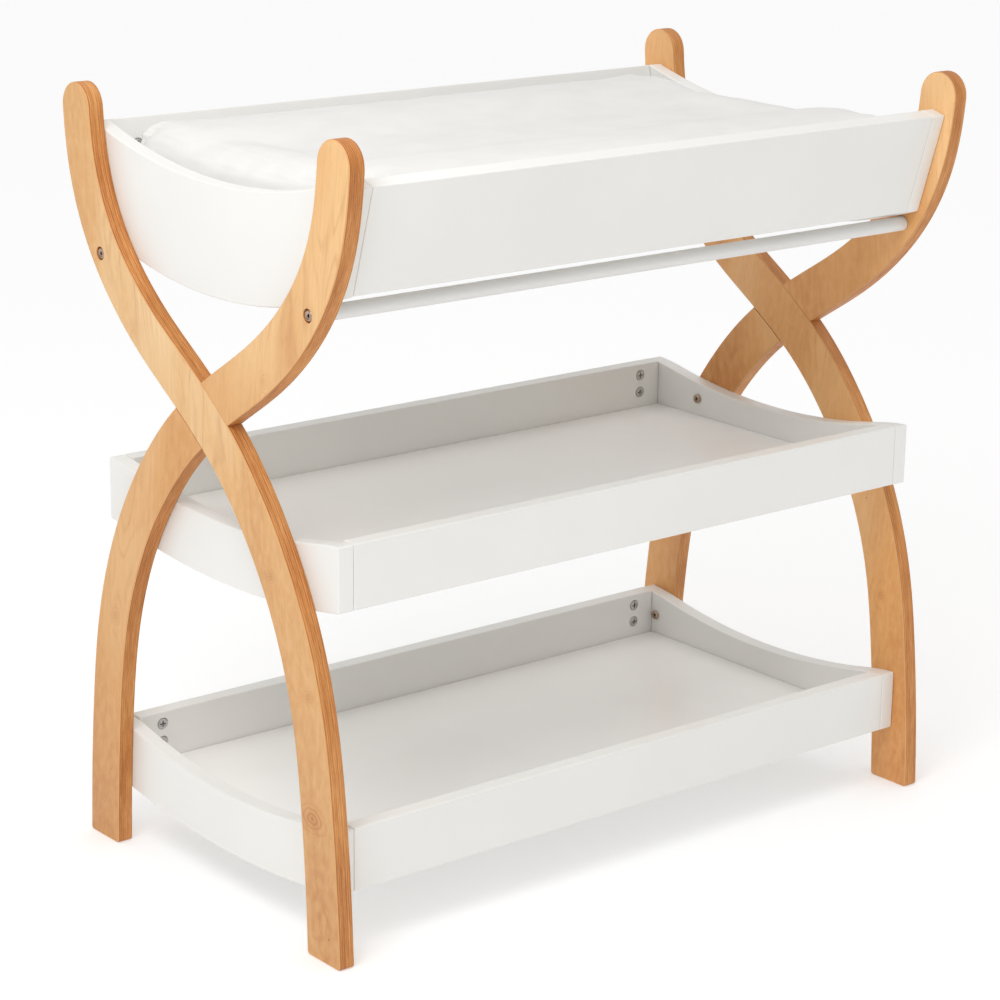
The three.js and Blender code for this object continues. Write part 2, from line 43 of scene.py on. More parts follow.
# ---------------------------------------------------------------- dimensions, mm
GAP = 0.3
HALF_LENGTH, LEG_T, LEG_HEIGHT = 470.5, 21.0, 940.0
LEG_SPINE = [
    (0, -233.2), (90, -228.7), (180, -220.5), (270, -207.0), (350, -183.9),
    (430, -145.8), (500, -97.2), (560, -39.6), (610, 27.2), (660, 104.6),
    (720, 175.6), (790, 225.8), (860, 249.5), (940, 258.0),
]
LEG_WIDTH = [(0, 31.2), (250, 30.5), (480, 30.8), (600, 31.2), (740, 30.1), (940, 29.0)]
FOOT_R = 4.5            # rounded corners of the foot
PLY_ARRIS = 1.7         # eased edges of the plywood
BOARD_T, BASE_T, GROOVE = 21.0, 12.0, 5.0
TONGUE = 6.0            # the bottoms' edges are rebated to this thickness in the grooves
END_OUT = HALF_LENGTH - LEG_T - GAP
END_IN = END_OUT - BOARD_T
SIDE_HALF = END_IN - GAP
SHELF_Z = {"bottom": 76.4, "middle": 411.0}
SHELF_HALF_DEPTH, SHELF_BOARD_H = 235.0, 76.8
SHELF_END_TOP_DIP, SHELF_END_TOP_R, SHELF_END_BELLY, SHELF_BASE_UP = 51.0, 925.0, 22.0, 4.0
TOP_Z, TOP_HALF_BOTTOM, TOP_Z_UP, TOP_HALF_UP = 763.8, 234.4, 887.9, 270.4
TOP_END_DIP_Z, TOP_END_BELLY_Z, TOP_BASE_Z = 854.1, 724.5, 774.0
RAIL_D, RAIL_Y, RAIL_Z = 18.0, 209.0, 744.2
BOLT_D, BOLT_BORE_D = 6.0, 6.8
RAIL_BOLT_RECESS_D, RAIL_BOLT_RECESS = 16.0, 4.5
TRAY_BOLTS = {"top": (211, 803), "middle": (-133, 450), "bottom": (-205, 119)}
CAM_D, CAM_DEEP, CAM_FROM_END = 15.0, 12.4, 34.0
SHELF_CAM_UP, TOP_CAM_DOWN = (37.0, 61.0), 33.0
BOARD_ARRIS = 1.6       # eased edges of the painted boards
CORNER = 2.0            # rounded corners of their outlines

lean = math.atan2(TOP_HALF_UP - TOP_HALF_BOTTOM, TOP_Z_UP - TOP_Z)
TOP_BOARD_H = math.hypot(TOP_HALF_UP - TOP_HALF_BOTTOM, TOP_Z_UP - TOP_Z)


def on_front_board(up, inward):
    return (
        -TOP_HALF_BOTTOM - up * math.sin(lean) + inward * math.cos(lean),
        TOP_Z + up * math.cos(lean) + inward * math.sin(lean),
    )


def inner_face_y(z):
    y0, z0 = on_front_board(0, BOARD_T)
    return y0 - (z - z0) * math.tan(lean)


# ---------------------------------------------------------------- curves in the plane
def spline(rows):
    t = np.array([r[0] for r in rows], float)
    v = np.array([r[1] for r in rows], float)
    n = len(t)
    a, b = np.zeros((n, n)), np.zeros(n)
    a[0, 0] = a[-1, -1] = 1
    h = np.diff(t)
    for i in range(1, n - 1):
        a[i, i - 1], a[i, i], a[i, i + 1] = h[i - 1], 2 * (h[i - 1] + h[i]), h[i]
        b[i] = 6 * ((v[i + 1] - v[i]) / h[i] - (v[i] - v[i - 1]) / h[i - 1])
    m = np.linalg.solve(a, b)

    def at(x):
        i = int(np.clip(np.searchsorted(t, x) - 1, 0, n - 2))
        p, q = (t[i + 1] - x) / h[i], (x - t[i]) / h[i]
        return p * v[i] + q * v[i + 1] + ((p**3 - p) * m[i] + (q**3 - q) * m[i + 1]) * h[i] ** 2 / 6

    return at


spine, width = spline(LEG_SPINE), spline(LEG_WIDTH)


def round_corners(poly, radius, seg=4, least=25.0):
    """Corners of a closed anticlockwise polygon that turn by more than `least` degrees become arcs. radius may be a list."""
    out = []
    n = len(poly)
    for i in range(n):
        p0, p, p1 = (np.array(poly[(i + k) % n], float) for k in (-1, 0, 1))
        r = radius[i] if isinstance(radius, (list, tuple)) else radius
        d0, d1 = p - p0, p1 - p
        l0, l1 = np.linalg.norm(d0), np.linalg.norm(d1)
        d0, d1 = d0 / l0, d1 / l1
        turn = math.atan2(d0[0] * d1[1] - d0[1] * d1[0], d0 @ d1)
        if abs(turn) < math.radians(least) or r <= 0:
            out.append(tuple(p))
            continue
        cut = min(r * math.tan(abs(turn) / 2), 0.45 * l0, 0.45 * l1)
        r = cut / math.tan(abs(turn) / 2)
        a = p - d0 * cut
        side = 1 if turn > 0 else -1
        c = a + side * r * np.array([-d0[1], d0[0]])
        s = math.atan2(a[1] - c[1], a[0] - c[0])
        for k in range(seg + 1):
            w = s + turn * k / seg
            out.append((c[0] + r * math.cos(w), c[1] + r * math.sin(w)))
    return out


def offset(poly, d):
    """Every point moves outwards by d, mitred; the polygon is anticlockwise."""
    p = np.array(poly, float)
    e = np.roll(p, -1, 0) - p
    e /= np.maximum(np.linalg.norm(e, axis=1), 1e-9)[:, None]
    nrm = np.stack([e[:, 1], -e[:, 0]], 1)
    before = np.roll(nrm, 1, 0)
    m = nrm + before
    m /= np.maximum((m * nrm).sum(1), 0.35)[:, None]
    return p + m * d


def clean(poly, least=0.05):
    out = []
    for p in poly:
        if not out or math.dist(p, out[-1]) > least:
            out.append(tuple(p))
    if math.dist(out[0], out[-1]) < least:
        out.pop()
    return out


def leg_outline(rows=118, head=30):
    """One leg, foot in front, as a closed anticlockwise line of (depth, height)."""
    r = width(LEG_HEIGHT)
    head_z = LEG_HEIGHT - r
    back, front = [], []
    for i in range(rows + 1):
        z = -12 + (head_z + 12) * i / rows
        y, s = spine(z), spine(z + 0.5) - spine(z - 0.5)
        k = width(z) / math.hypot(1, s)
        back.append((y + k, z - s * k))
        front.append((y - k, z + s * k))

    def above(line):
        i = next(i for i, p in enumerate(line) if p[1] > 9)
        (y0, z0), (y1, z1) = line[i - 1], line[i]
        return line[i:], y0 + (y1 - y0) * (0 - z0) / (z1 - z0)

    back, yb = above(back)
    front, yf = above(front)
    c = (spine(head_z), head_z)
    lean_ = math.atan(spine(head_z + 0.5) - spine(head_z - 0.5))
    arc = [
        (c[0] + r * math.cos(-lean_ + math.pi * i / head), c[1] + r * math.sin(-lean_ + math.pi * i / head))
        for i in range(1, head)
    ]
    foot = round_corners([(yf, 0.0), (yb, 0.0), back[0], (yf, 9.5)], [FOOT_R, FOOT_R, 0, 0], 5)[:12]
    return clean(foot + back + arc + front[::-1])


def mirrored(poly):
    return [(-y, z) for y, z in poly][::-1]


# ---------------------------------------------------------------- meshes
def mesh_from(name, verts, faces):
    me = bpy.data.meshes.new(name)
    me.from_pydata([Vector(v) * MM for v in verts], [], faces)
    me.update()
    return me


def prism(name, poly, x0, x1, r=0.0, seg=4):
    """poly of (depth, height), anticlockwise, run along X from x0 to x1 with eased ends."""
    rings = []
    if r > 0:
        for j in range(seg + 1):
            a = math.pi / 2 * j / seg
            rings.append((x0 + r * (1 - math.cos(a)), -r * (1 - math.sin(a))))
        rings += [(x0 + x1 - x, d) for x, d in rings[::-1]]
    else:
        rings = [(x0, 0.0), (x1, 0.0)]
    n = len(poly)
    verts, faces = [], []
    for x, d in rings:
        line = offset(poly, d) if d else np.array(poly, float)
        verts += [(x, y, z) for y, z in line]
    for k in range(len(rings) - 1):
        a, b = k * n, (k + 1) * n
        for i in range(n):
            j = (i + 1) % n
            faces.append((a + i, a + j, b + j, b + i))
    faces.append(tuple(range(n))[::-1])
    last = (len(rings) - 1) * n
    faces.append(tuple(range(last, last + n)))
    return mesh_from(name, verts, faces)


def lathe_x(name, profile, y, z, seg=48, hexes=()):
    """Closed solid of revolution about a line along X through (y, z). profile is (x, radius) from one end to the other;
    a row whose index is in hexes follows a hexagon of that across-flats radius."""
    verts, faces = [], []
    rings = []
    for k, (x, r) in enumerate(profile):
        if r < 1e-6:
            rings.append([len(verts)])
            verts.append((x, y, z))
            continue
        ring = []
        for i in range(seg):
            a = 2 * math.pi * i / seg
            q = r
            if k in hexes:
                w = (a % (math.pi / 3)) - math.pi / 6
                q = r / math.cos(w)
            ring.append(len(verts))
            verts.append((x, y + q * math.cos(a), z + q * math.sin(a)))
        rings.append(ring)
    for a, b in zip(rings, rings[1:]):
        for i in range(seg):
            j = (i + 1) % seg
            if len(a) == 1:
                faces.append((a[0], b[j], b[i]))
            elif len(b) == 1:
                faces.append((a[i], a[j], b[0]))
            else:
                faces.append((a[i], a[j], b[j], b[i]))
    for ring, flip in ((rings[0], True), (rings[-1], False)):
        if len(ring) > 1:
            faces.append(tuple(ring[::-1]) if flip else tuple(ring))
    me = mesh_from(name, verts, faces)
    if profile[-1][0] < profile[0][0]:
        me.flip_normals()
    return me


def block(name, x0, x1, y0, y1, z0, z1):
    v = [(x, y, z) for x in (x0, x1) for y in (y0, y1) for z in (z0, z1)]
    f = [(0, 1, 3, 2), (4, 6, 7, 5), (0, 4, 5, 1), (2, 3, 7, 6), (0, 2, 6, 4), (1, 5, 7, 3)]
    return mesh_from(name, v, f)


scene = bpy.context.scene
scratch = bpy.data.collections.new("scratch")
scene.collection.children.link(scratch)


def cut(me, cutters, mode="DIFFERENCE"):
    """Boolean of a mesh with a list of closed meshes; returns a new mesh."""
    o = bpy.data.objects.new("cut_base", me)
    scratch.objects.link(o)
    tools = []
    for c in cutters:
        t = bpy.data.objects.new("cutter", c)
        scratch.objects.link(t)
        m = o.modifiers.new("b", "BOOLEAN")
        m.operation, m.solver, m.object = mode, "EXACT", t
        tools.append(t)
    dg = bpy.context.evaluated_depsgraph_get()
    dg.update()
    out = bpy.data.meshes.new_from_object(o.evaluated_get(dg))
    for t in [o, *tools]:
        bpy.data.objects.remove(t)
    return out


def turned(me, name):
    """Half a turn about Z."""
    out = me.copy()
    out.name = name
    out.transform(Matrix.Rotation(math.pi, 4, "Z"))
    return out


def shade(me, angle=32.0):
    bm = bmesh.new()
    bm.from_mesh(me)
    bmesh.ops.remove_doubles(bm, verts=bm.verts, dist=2e-6)
    bmesh.ops.dissolve_degenerate(bm, dist=1e-6, edges=bm.edges)
    for f in bm.faces:
        f.smooth = True
    for e in bm.edges:
        e.smooth = len(e.link_faces) == 2 and e.calc_face_angle(0.0) < math.radians(angle)
    bm.to_mesh(me)
    bm.free()
    me.update()


def piece(name, me, nodes, materials, body="table", weighted=True, angle=32.0):
    shade(me, angle)
    me.materials.clear()
    for m in materials:
        me.materials.append(m)
    o = bpy.data.objects.new(name, me)
    scene.collection.objects.link(o)
    if weighted:
        w = o.modifiers.new("flat faces stay flat", "WEIGHTED_NORMAL")
        w.keep_sharp, w.weight, w.mode = True, 100, "FACE_AREA"
    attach(o, body)
    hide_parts(*nodes)
    return o


# ---------------------------------------------------------------- materials
def lin(r, g, b):
    def one(c):
        c /= 255
        return c / 12.92 if c <= 0.04045 else ((c + 0.055) / 1.055) ** 2.4

    return (one(r), one(g), one(b), 1.0)


class Tree:
    def __init__(self, name):
        self.m = bpy.data.materials.new(name)
        self.m.use_nodes = True
        self.t = self.m.node_tree
        self.t.nodes.clear()
        self.out = self.t.nodes.new("ShaderNodeOutputMaterial")
        self.b = self.t.nodes.new("ShaderNodeBsdfPrincipled")
        self.t.links.new(self.b.outputs["BSDF"], self.out.inputs["Surface"])
        self.coord = self.t.nodes.new("ShaderNodeTexCoord").outputs["Object"]

    def put(self, socket, value):
        if isinstance(value, bpy.types.NodeSocket):
            self.t.links.new(value, socket)
        elif value is not None:
            socket.default_value = value

    def math(self, op, a, b=None, c=None, clamp=False):
        n = self.t.nodes.new("ShaderNodeMath")
        n.operation, n.use_clamp = op, clamp
        for i, v in enumerate((a, b, c)):
            self.put(n.inputs[i], v)
        return n.outputs[0]

    def mapping(self, scale=(1, 1, 1), location=(0, 0, 0), rotation=(0, 0, 0), vector=None):
        n = self.t.nodes.new("ShaderNodeMapping")
        self.put(n.inputs["Vector"], vector or self.coord)
        n.inputs["Location"].default_value = location
        n.inputs["Rotation"].default_value = rotation
        n.inputs["Scale"].default_value = scale
        return n.outputs[0]

    def noise(self, vector, scale=1.0, detail=2.0, rough=0.5, distortion=0.0):
        n = self.t.nodes.new("ShaderNodeTexNoise")
        self.put(n.inputs["Vector"], vector)
        n.inputs["Scale"].default_value = scale
        n.inputs["Detail"].default_value = detail
        n.inputs["Roughness"].default_value = rough
        n.inputs["Distortion"].default_value = distortion
        return n.outputs["Fac"]

    def ramp(self, fac, stops, mode="LINEAR"):
        n = self.t.nodes.new("ShaderNodeValToRGB")
        n.color_ramp.interpolation = mode
        e = n.color_ramp.elements
        while len(e) < len(stops):
            e.new(0.5)
        for el, (p, c) in zip(e, stops):
            el.position = p
            el.color = c if hasattr(c, "__len__") else (c, c, c, 1)
        self.put(n.inputs["Fac"], fac)
        return n.outputs["Color"]

    def mix(self, fac, a, b, mode="MIX"):
        n = self.t.nodes.new("ShaderNodeMix")
        n.data_type, n.blend_type = "RGBA", mode
        self.put(n.inputs["Factor"], fac)
        self.put(n.inputs[6], a)
        self.put(n.inputs[7], b)
        return n.outputs[2]

    def remap(self, v, a, b, c, d, clamp=True):
        n = self.t.nodes.new("ShaderNodeMapRange")
        n.clamp = clamp
        self.put(n.inputs["Value"], v)
        for k, x in zip(("From Min", "From Max", "To Min", "To Max"), (a, b, c, d)):
            n.inputs[k].default_value = x
        return n.outputs[0]

    def split(self, v=None):
        n = self.t.nodes.new("ShaderNodeSeparateXYZ")
        self.put(n.inputs[0], v or self.coord)
        return n.outputs

    def join(self, x, y, z):
        n = self.t.nodes.new("ShaderNodeCombineXYZ")
        for i, v in enumerate((x, y, z)):
            self.put(n.inputs[i], v)
        return n.outputs[0]

    def bump(self, height, distance, strength=1.0, normal=None):
        n = self.t.nodes.new("ShaderNodeBump")
        self.put(n.inputs["Height"], height)
        n.inputs["Distance"].default_value = distance
        n.inputs["Strength"].default_value = strength
        if normal is not None:
            self.t.links.new(normal, n.inputs["Normal"])
        return n.outputs[0]

    def done(self, **values):
        for k, v in values.items():
            self.put(self.b.inputs[k.replace("_", " ")], v)
        return self.m


def ply_face(name, seed, tilt, knots, specks=(), painted_shade_tint=(1, 1, 1)):
    """Rotary cut birch veneer: pale, a quiet flame figure that runs round the knots, short pores, clear satin lacquer.
    knots are (depth, height, radius, strength, tallness) in mm."""
    t = Tree(name)
    p = t.mapping(rotation=(math.radians(tilt), 0, 0), location=seed)
    # slow drift of tone, long along the grain, plus painted light: the tone rises with height, so the upper part of
    # each leg is painted lighter
    tone_and_top_light = t.noise(t.mapping((3, 7.5, 2.1), vector=p), 1.0, 2.0, 0.5)
    tone_and_top_light = t.math("ADD", tone_and_top_light, t.remap(t.split()[2], 0.04, 0.92, -0.15, 0.15))
    base = t.ramp(tone_and_top_light, [(0.26, lin(205, 145, 83)), (0.50, lin(223, 170, 107)), (0.74, lin(243, 208, 158))])
    # figure: level lines of a stretched field, which close into rings at each knot
    field = t.noise(t.mapping((4, 9.0, 1.55), vector=p), 1.0, 2.6, 0.45, 0.35)
    field = t.math("MULTIPLY", field, 25.0)
    core_sum, rings = None, None
    wob = t.noise(t.coord, 55.0, 2.0, 0.5)
    y, z = t.split()[1], t.split()[2]
    for ky, kz, kr, ks, tall in knots:
        dy = t.math("DIVIDE", t.math("SUBTRACT", y, ky * MM), kr * MM)
        dz = t.math("DIVIDE", t.math("SUBTRACT", z, kz * MM), kr * tall * MM)
        d2 = t.math("ADD", t.math("MULTIPLY", dy, dy), t.math("MULTIPLY", dz, dz))
        d = t.math("SQRT", d2)
        d = t.math("ADD", d, t.remap(wob, 0.3, 0.7, -0.09, 0.09))
        bell = t.math("EXPONENT", t.math("MULTIPLY", d2, -0.9))
        field = t.math("ADD", field, t.math("MULTIPLY", bell, 3.6 * ks))
        core = t.math("MULTIPLY", t.remap(d, 0.04, 0.26, 1.0, 0.0), ks)
        turns = t.math("COSINE", t.math("MULTIPLY", d, 2 * math.pi * 3.1))
        ring = t.math("MULTIPLY", t.remap(turns, -0.2, 0.9, 0.0, 1.0), t.remap(d, 0.35, 1.25, 0.62 * ks, 0.0))
        rings = ring if rings is None else t.math("MAXIMUM", rings, ring)
        halo = t.math("MULTIPLY", t.remap(d, 0.2, 1.25, 1.0, 0.0), 0.42 * ks)
        both = t.math("MAXIMUM", core, halo)
        core_sum = both if core_sum is None else t.math("MAXIMUM", core_sum, both)
    lines = t.math("PINGPONG", field, 0.5)
    lines = t.remap(lines, 0.0, 0.20, 1.0, 0.0)
    where = t.remap(t.noise(t.mapping((2, 9, 5), vector=p), 1.0, 1.0), 0.44, 0.66, 0.0, 1.0)
    if core_sum is not None:
        where = t.math("MAXIMUM", where, t.remap(core_sum, 0.02, 0.3, 0.0, 1.0))
    figure = t.math("MULTIPLY", lines, t.math("MULTIPLY", where, 0.36))
    col = t.mix(figure, base, lin(184, 120, 62))
    # satin cross figure and mottle
    mottle = t.noise(t.mapping((30, 105, 52), vector=p), 1.0, 3.0, 0.6)
    col = t.mix(t.remap(mottle, 0.35, 0.68, 0.0, 0.34), col, lin(243, 202, 146))
    # short fine pores along the grain
    pores = t.noise(t.mapping((300, 980, 42), vector=p), 1.0, 2.0, 0.6)
    pore = t.remap(pores, 0.60, 0.72, 0.0, 1.0)
    col = t.mix(t.math("MULTIPLY", pore, 0.30), col, lin(170, 112, 64))
    fibre = t.noise(t.mapping((120, 420, 9), vector=p), 1.0, 3.0, 0.65)
    col = t.mix(t.remap(fibre, 0.4, 0.72, 0.0, 0.22), col, lin(202, 146, 92))
    # knots
    if core_sum is not None:
        col = t.mix(t.remap(core_sum, 0.05, 0.42, 0.0, 0.34), col, lin(192, 122, 62))
        col = t.mix(rings, col, lin(180, 112, 52))
        col = t.mix(t.remap(core_sum, 0.5, 1.0, 0.0, 0.55), col, lin(146, 82, 38))
    # painted shade: a colour multiplier per leg; the back left leg is darkened and the right legs are deepened towards
    # a shaded orange
    if painted_shade_tint != (1, 1, 1):
        col = t.mix(1.0, col, (*painted_shade_tint, 1), "MULTIPLY")
    # pin knots
    for ky, kz, kr in specks:
        dy, dz = t.math("SUBTRACT", y, ky * MM), t.math("SUBTRACT", z, kz * MM)
        d = t.math("SQRT", t.math("ADD", t.math("MULTIPLY", dy, dy), t.math("MULTIPLY", dz, dz)))
        col = t.mix(t.remap(d, 0.4 * kr * MM, 1.6 * kr * MM, 0.8, 0.0), col, lin(96, 54, 26))
    h = t.math("ADD", t.math("MULTIPLY", fibre, 0.5), t.math("MULTIPLY", pore, -0.6))
    rough = t.remap(t.noise(t.mapping((40, 120, 30), vector=p), 1.0, 3.0), 0.3, 0.7, 0.38, 0.52)
    return t.done(
        Base_Color=col, Roughness=rough, Normal=t.bump(h, 0.00006, 0.6),
        Coat_Weight=0.16, Coat_Roughness=0.28, Specular_IOR_Level=0.42,
    )


def ply_edge(name, seed, plies=15):
    """Sanded plywood edge: layers parallel to the faces, light long-grain plies between darker end-grain ones, thin glue
    lines, open pores in the end grain."""
    t = Tree(name)
    x, y, z = t.split()
    wave = t.noise(t.mapping((20, 14, 9), location=seed), 1.0, 2.0, 0.5)
    depth = t.math("DIVIDE", t.math("SUBTRACT", t.math("ABSOLUTE", x), (HALF_LENGTH - LEG_T) * MM), LEG_T * MM)
    depth = t.math("ADD", depth, t.remap(wave, 0.3, 0.7, -0.016, 0.016, False))
    uneven = t.math("SINE", t.math("ADD", t.math("MULTIPLY", depth, 23.0), seed[0]))
    depth_ = t.math("ADD", depth, t.math("MULTIPLY", uneven, 0.011))
    layer = t.math("MULTIPLY", depth_, float(plies))
    k = t.math("FLOOR", layer)
    inside = t.math("FRACT", layer)
    odd = t.math("PINGPONG", t.math("ADD", k, 0.0), 1.0)
    n = t.t.nodes.new("ShaderNodeTexWhiteNoise")
    n.noise_dimensions = "1D"
    t.put(n.inputs["W"], t.math("ADD", k, seed[0] * 7.3 + 2.1))
    chance = n.outputs["Value"]
    dark = t.math("ADD", t.math("MULTIPLY", odd, 0.13), t.math("MULTIPLY", chance, 0.20))
    dark = t.math("ADD", dark, 0.27)
    # long streaks inside the plies
    streak = t.noise(t.mapping((1900, 60, 46), location=seed), 1.0, 4.0, 0.65)
    slow = t.noise(t.mapping((60, 12, 8), location=seed), 1.0, 2.0, 0.5)
    dark = t.math("ADD", dark, t.remap(streak, 0.3, 0.72, -0.30, 0.36, False))
    dark = t.math("ADD", dark, t.remap(slow, 0.3, 0.7, -0.16, 0.16, False), clamp=True)
    col = t.ramp(dark, [
        (0.0, lin(232, 174, 110)), (0.30, lin(214, 147, 82)), (0.62, lin(188, 116, 54)), (1.0, lin(144, 80, 30)),
    ])
    # end-grain pores
    pores = t.noise(t.mapping((1300, 620, 620), location=seed), 1.0, 1.0, 0.5)
    pore = t.math("MULTIPLY", t.remap(pores, 0.60, 0.70, 0.0, 1.0), t.remap(dark, 0.2, 0.7, 0.15, 0.75))
    col = t.mix(t.math("MULTIPLY", pore, 0.6), col, lin(112, 66, 34))
    # glue lines
    near = t.math("MINIMUM", inside, t.math("SUBTRACT", 1.0, inside))
    glue = t.remap(near, 0.02, 0.13, 1.0, 0.0)
    col = t.mix(t.math("MULTIPLY", glue, 0.14), col, lin(128, 76, 36))
    seam = t.math("MINIMUM", t.math("ABSOLUTE", t.math("SUBTRACT", depth, 0.068)), t.math("ABSOLUTE", t.math("SUBTRACT", depth, 0.932)))
    col = t.mix(t.remap(seam, 0.006, 0.016, 0.42, 0.0), col, lin(104, 60, 28))
    # the outermost plies are face veneer
    face = t.math("MAXIMUM", t.remap(depth, 0.052, 0.064, 1.0, 0.0), t.remap(depth, 0.936, 0.948, 0.0, 1.0))
    col = t.mix(t.math("MULTIPLY", face, 0.70), col, lin(226, 174, 116))
    h = t.math("SUBTRACT", t.math("MULTIPLY", streak, 0.5), t.math("ADD", pore, t.math("MULTIPLY", glue, 0.25)))
    rough = t.remap(streak, 0.3, 0.7, 0.46, 0.62)
    return t.done(
        Base_Color=col, Roughness=rough, Normal=t.bump(h, 0.00010, 0.7),
        Coat_Weight=0.10, Coat_Roughness=0.34, Specular_IOR_Level=0.40,
    )


def white_paint(name, shade_=(240, 239, 235), rough=(0.30, 0.42), seed=(0, 0, 0), peel_=0.5):
    """Sprayed satin lacquer on smooth board: very fine orange peel, faint cloudiness, dust in the sheen."""
    t = Tree(name)
    c = lin(*shade_)
    d = tuple(v * 0.972 for v in c[:3]) + (1,)
    cloud = t.noise(t.mapping((5, 5, 5), location=seed), 1.0, 3.0, 0.55)
    col = t.mix(t.remap(cloud, 0.35, 0.68, 0.0, 1.0), c, d)
    speck = t.noise(t.mapping((700, 700, 700), location=seed), 1.0, 1.0, 0.5)
    col = t.mix(t.remap(speck, 0.70, 0.78, 0.0, 0.10), col, lin(190, 188, 182))
    peel = t.noise(t.mapping((330, 330, 330), location=seed), 1.0, 2.0, 0.5)
    sheen = t.noise(t.mapping((26, 26, 26), location=seed), 1.0, 4.0, 0.6)
    return t.done(
        Base_Color=col, Roughness=t.remap(sheen, 0.3, 0.7, rough[0], rough[1]),
        Normal=t.bump(peel, 0.00004, peel_), Coat_Weight=0.12, Coat_Roughness=0.22, Specular_IOR_Level=0.45,
    )


def metal(name, colour, rough, brushed=420.0):
    t = Tree(name)
    n = t.noise(t.mapping((brushed, brushed, brushed)), 1.0, 3.0, 0.6)
    tarnish = t.noise(t.mapping((160, 160, 160)), 1.0, 3.0, 0.6)
    c = lin(*colour)
    col = t.mix(t.remap(tarnish, 0.35, 0.7, 0.0, 1.0), c, tuple(v * 0.72 for v in c[:3]) + (1,))
    return t.done(
        Base_Color=col, Metallic=1.0, Roughness=t.remap(n, 0.3, 0.7, rough, rough + 0.16),
        Normal=t.bump(n, 0.00003, 0.5),
    )


def knit(name):
    """Fine white jersey cover: wales and courses about 1.6 mm apart, soft fuzz, slight creasing."""
    t = Tree(name)
    warp = t.noise(t.mapping((14, 14, 14)), 1.0, 2.0, 0.5)
    x, y, z = t.split()
    push = t.remap(warp, 0.3, 0.7, -0.0011, 0.0011, False)
    # wales run along the table; on the sides the loops follow the height
    across = t.math("ADD", t.math("ADD", y, t.math("MULTIPLY", z, 0.9)), push)
    along = t.math("ADD", t.math("ADD", x, t.math("MULTIPLY", z, 0.35)), push)
    a = t.math("SINE", t.math("MULTIPLY", across, 2 * math.pi / 0.0017))
    b = t.math("SINE", t.math("ADD", t.math("MULTIPLY", along, 2 * math.pi / 0.0021), t.math("MULTIPLY", a, 0.9)))
    loops = t.math("MULTIPLY", t.math("ADD", a, 1.0), t.math("ADD", t.math("MULTIPLY", b, 0.35), 0.65))
    fuzz = t.noise(t.mapping((900, 900, 900)), 1.0, 3.0, 0.65)
    cloud = t.noise(t.mapping((18, 26, 30)), 1.0, 3.0, 0.55)
    col = t.mix(t.remap(cloud, 0.34, 0.70, 0.0, 1.0), lin(233, 232, 229), lin(228, 227, 224))
    # painted shade: the low places between the knit loops are darkened
    col = t.mix(t.remap(loops, 0.0, 0.9, 0.10, 0.0), col, lin(206, 205, 201))
    h = t.math("ADD", t.math("MULTIPLY", loops, 0.5), t.math("MULTIPLY", fuzz, 0.5))
    n = t.bump(h, 0.00022, 0.55)
    n = t.bump(cloud, 0.0006, 0.30, n)
    return t.done(
        Base_Color=col, Roughness=t.remap(fuzz, 0.3, 0.7, 0.82, 0.96), Normal=n,
        Sheen_Weight=0.22, Sheen_Roughness=0.45, Specular_IOR_Level=0.25,
    )


# ---------------------------------------------------------------- legs
KNOTS = {
    "leg_front_left": ([(-214, 168, 26, 1.0, 0.72), (-206, 312, 12, 0.55, 0.9), (-133, 433, 14, 0.5, 0.8), (-226, 52, 48, 0.36, 1.7)], [(-244, 32, 1.1)]),
    "leg_back_left": ([(196, 300, 12, 0.5, 1.2), (-126, 655, 11, 0.35, 1.2)], [(214, 96, 0.7)]),
    "leg_front_right": ([(-205, 250, 11, 0.4, 1.2), (120, 676, 12, 0.45, 1.2)], [(-170, 375, 0.8)]),
    "leg_back_right": ([(120, 470, 12, 0.5, 1.2), (-190, 745, 9, 0.35, 1.2)], [(176, 372, 0.8)]),
}
own = leg_outline()
other = mirrored(own)
left0, left1 = -HALF_LENGTH, -HALF_LENGTH + LEG_T
mid = (left0 + left1) / 2


def rail_bolt_cutter(y):
    return lathe_x("c", [
        (left0 - 2, RAIL_BOLT_RECESS_D / 2 + 0.5), (left0, RAIL_BOLT_RECESS_D / 2 + 0.5), (left0 + 0.5, RAIL_BOLT_RECESS_D / 2),
        (left0 + RAIL_BOLT_RECESS, RAIL_BOLT_RECESS_D / 2), (left0 + RAIL_BOLT_RECESS, BOLT_BORE_D / 2),
        (left1 + 2, BOLT_BORE_D / 2),
    ], y, RAIL_Z, 48)


def leg_mesh(name, outer):
    flip = 1 if outer else -1
    me = prism(name, own if outer else other, left0, left1, PLY_ARRIS, 4)
    if outer:
        notch = prism("c", [tuple(p) for p in offset(other, GAP)], mid - GAP / 2, left1 + 4)
    else:
        notch = prism("c", [tuple(p) for p in offset(own, GAP)], left0 - 4, mid + GAP / 2)
    cutters = [notch, rail_bolt_cutter(flip * RAIL_Y)]
    for y, z in TRAY_BOLTS.values():
        cutters.append(lathe_x("c", [(left1 - 15, BOLT_BORE_D / 2), (left1 + 2, BOLT_BORE_D / 2)], flip * y, z, 24))
    return cut(me, cutters)


def split_faces(me, materials_by):
    """material index per face from its normal and place."""
    for f in me.polygons:
        f.material_index = materials_by(f.normal, f.center)


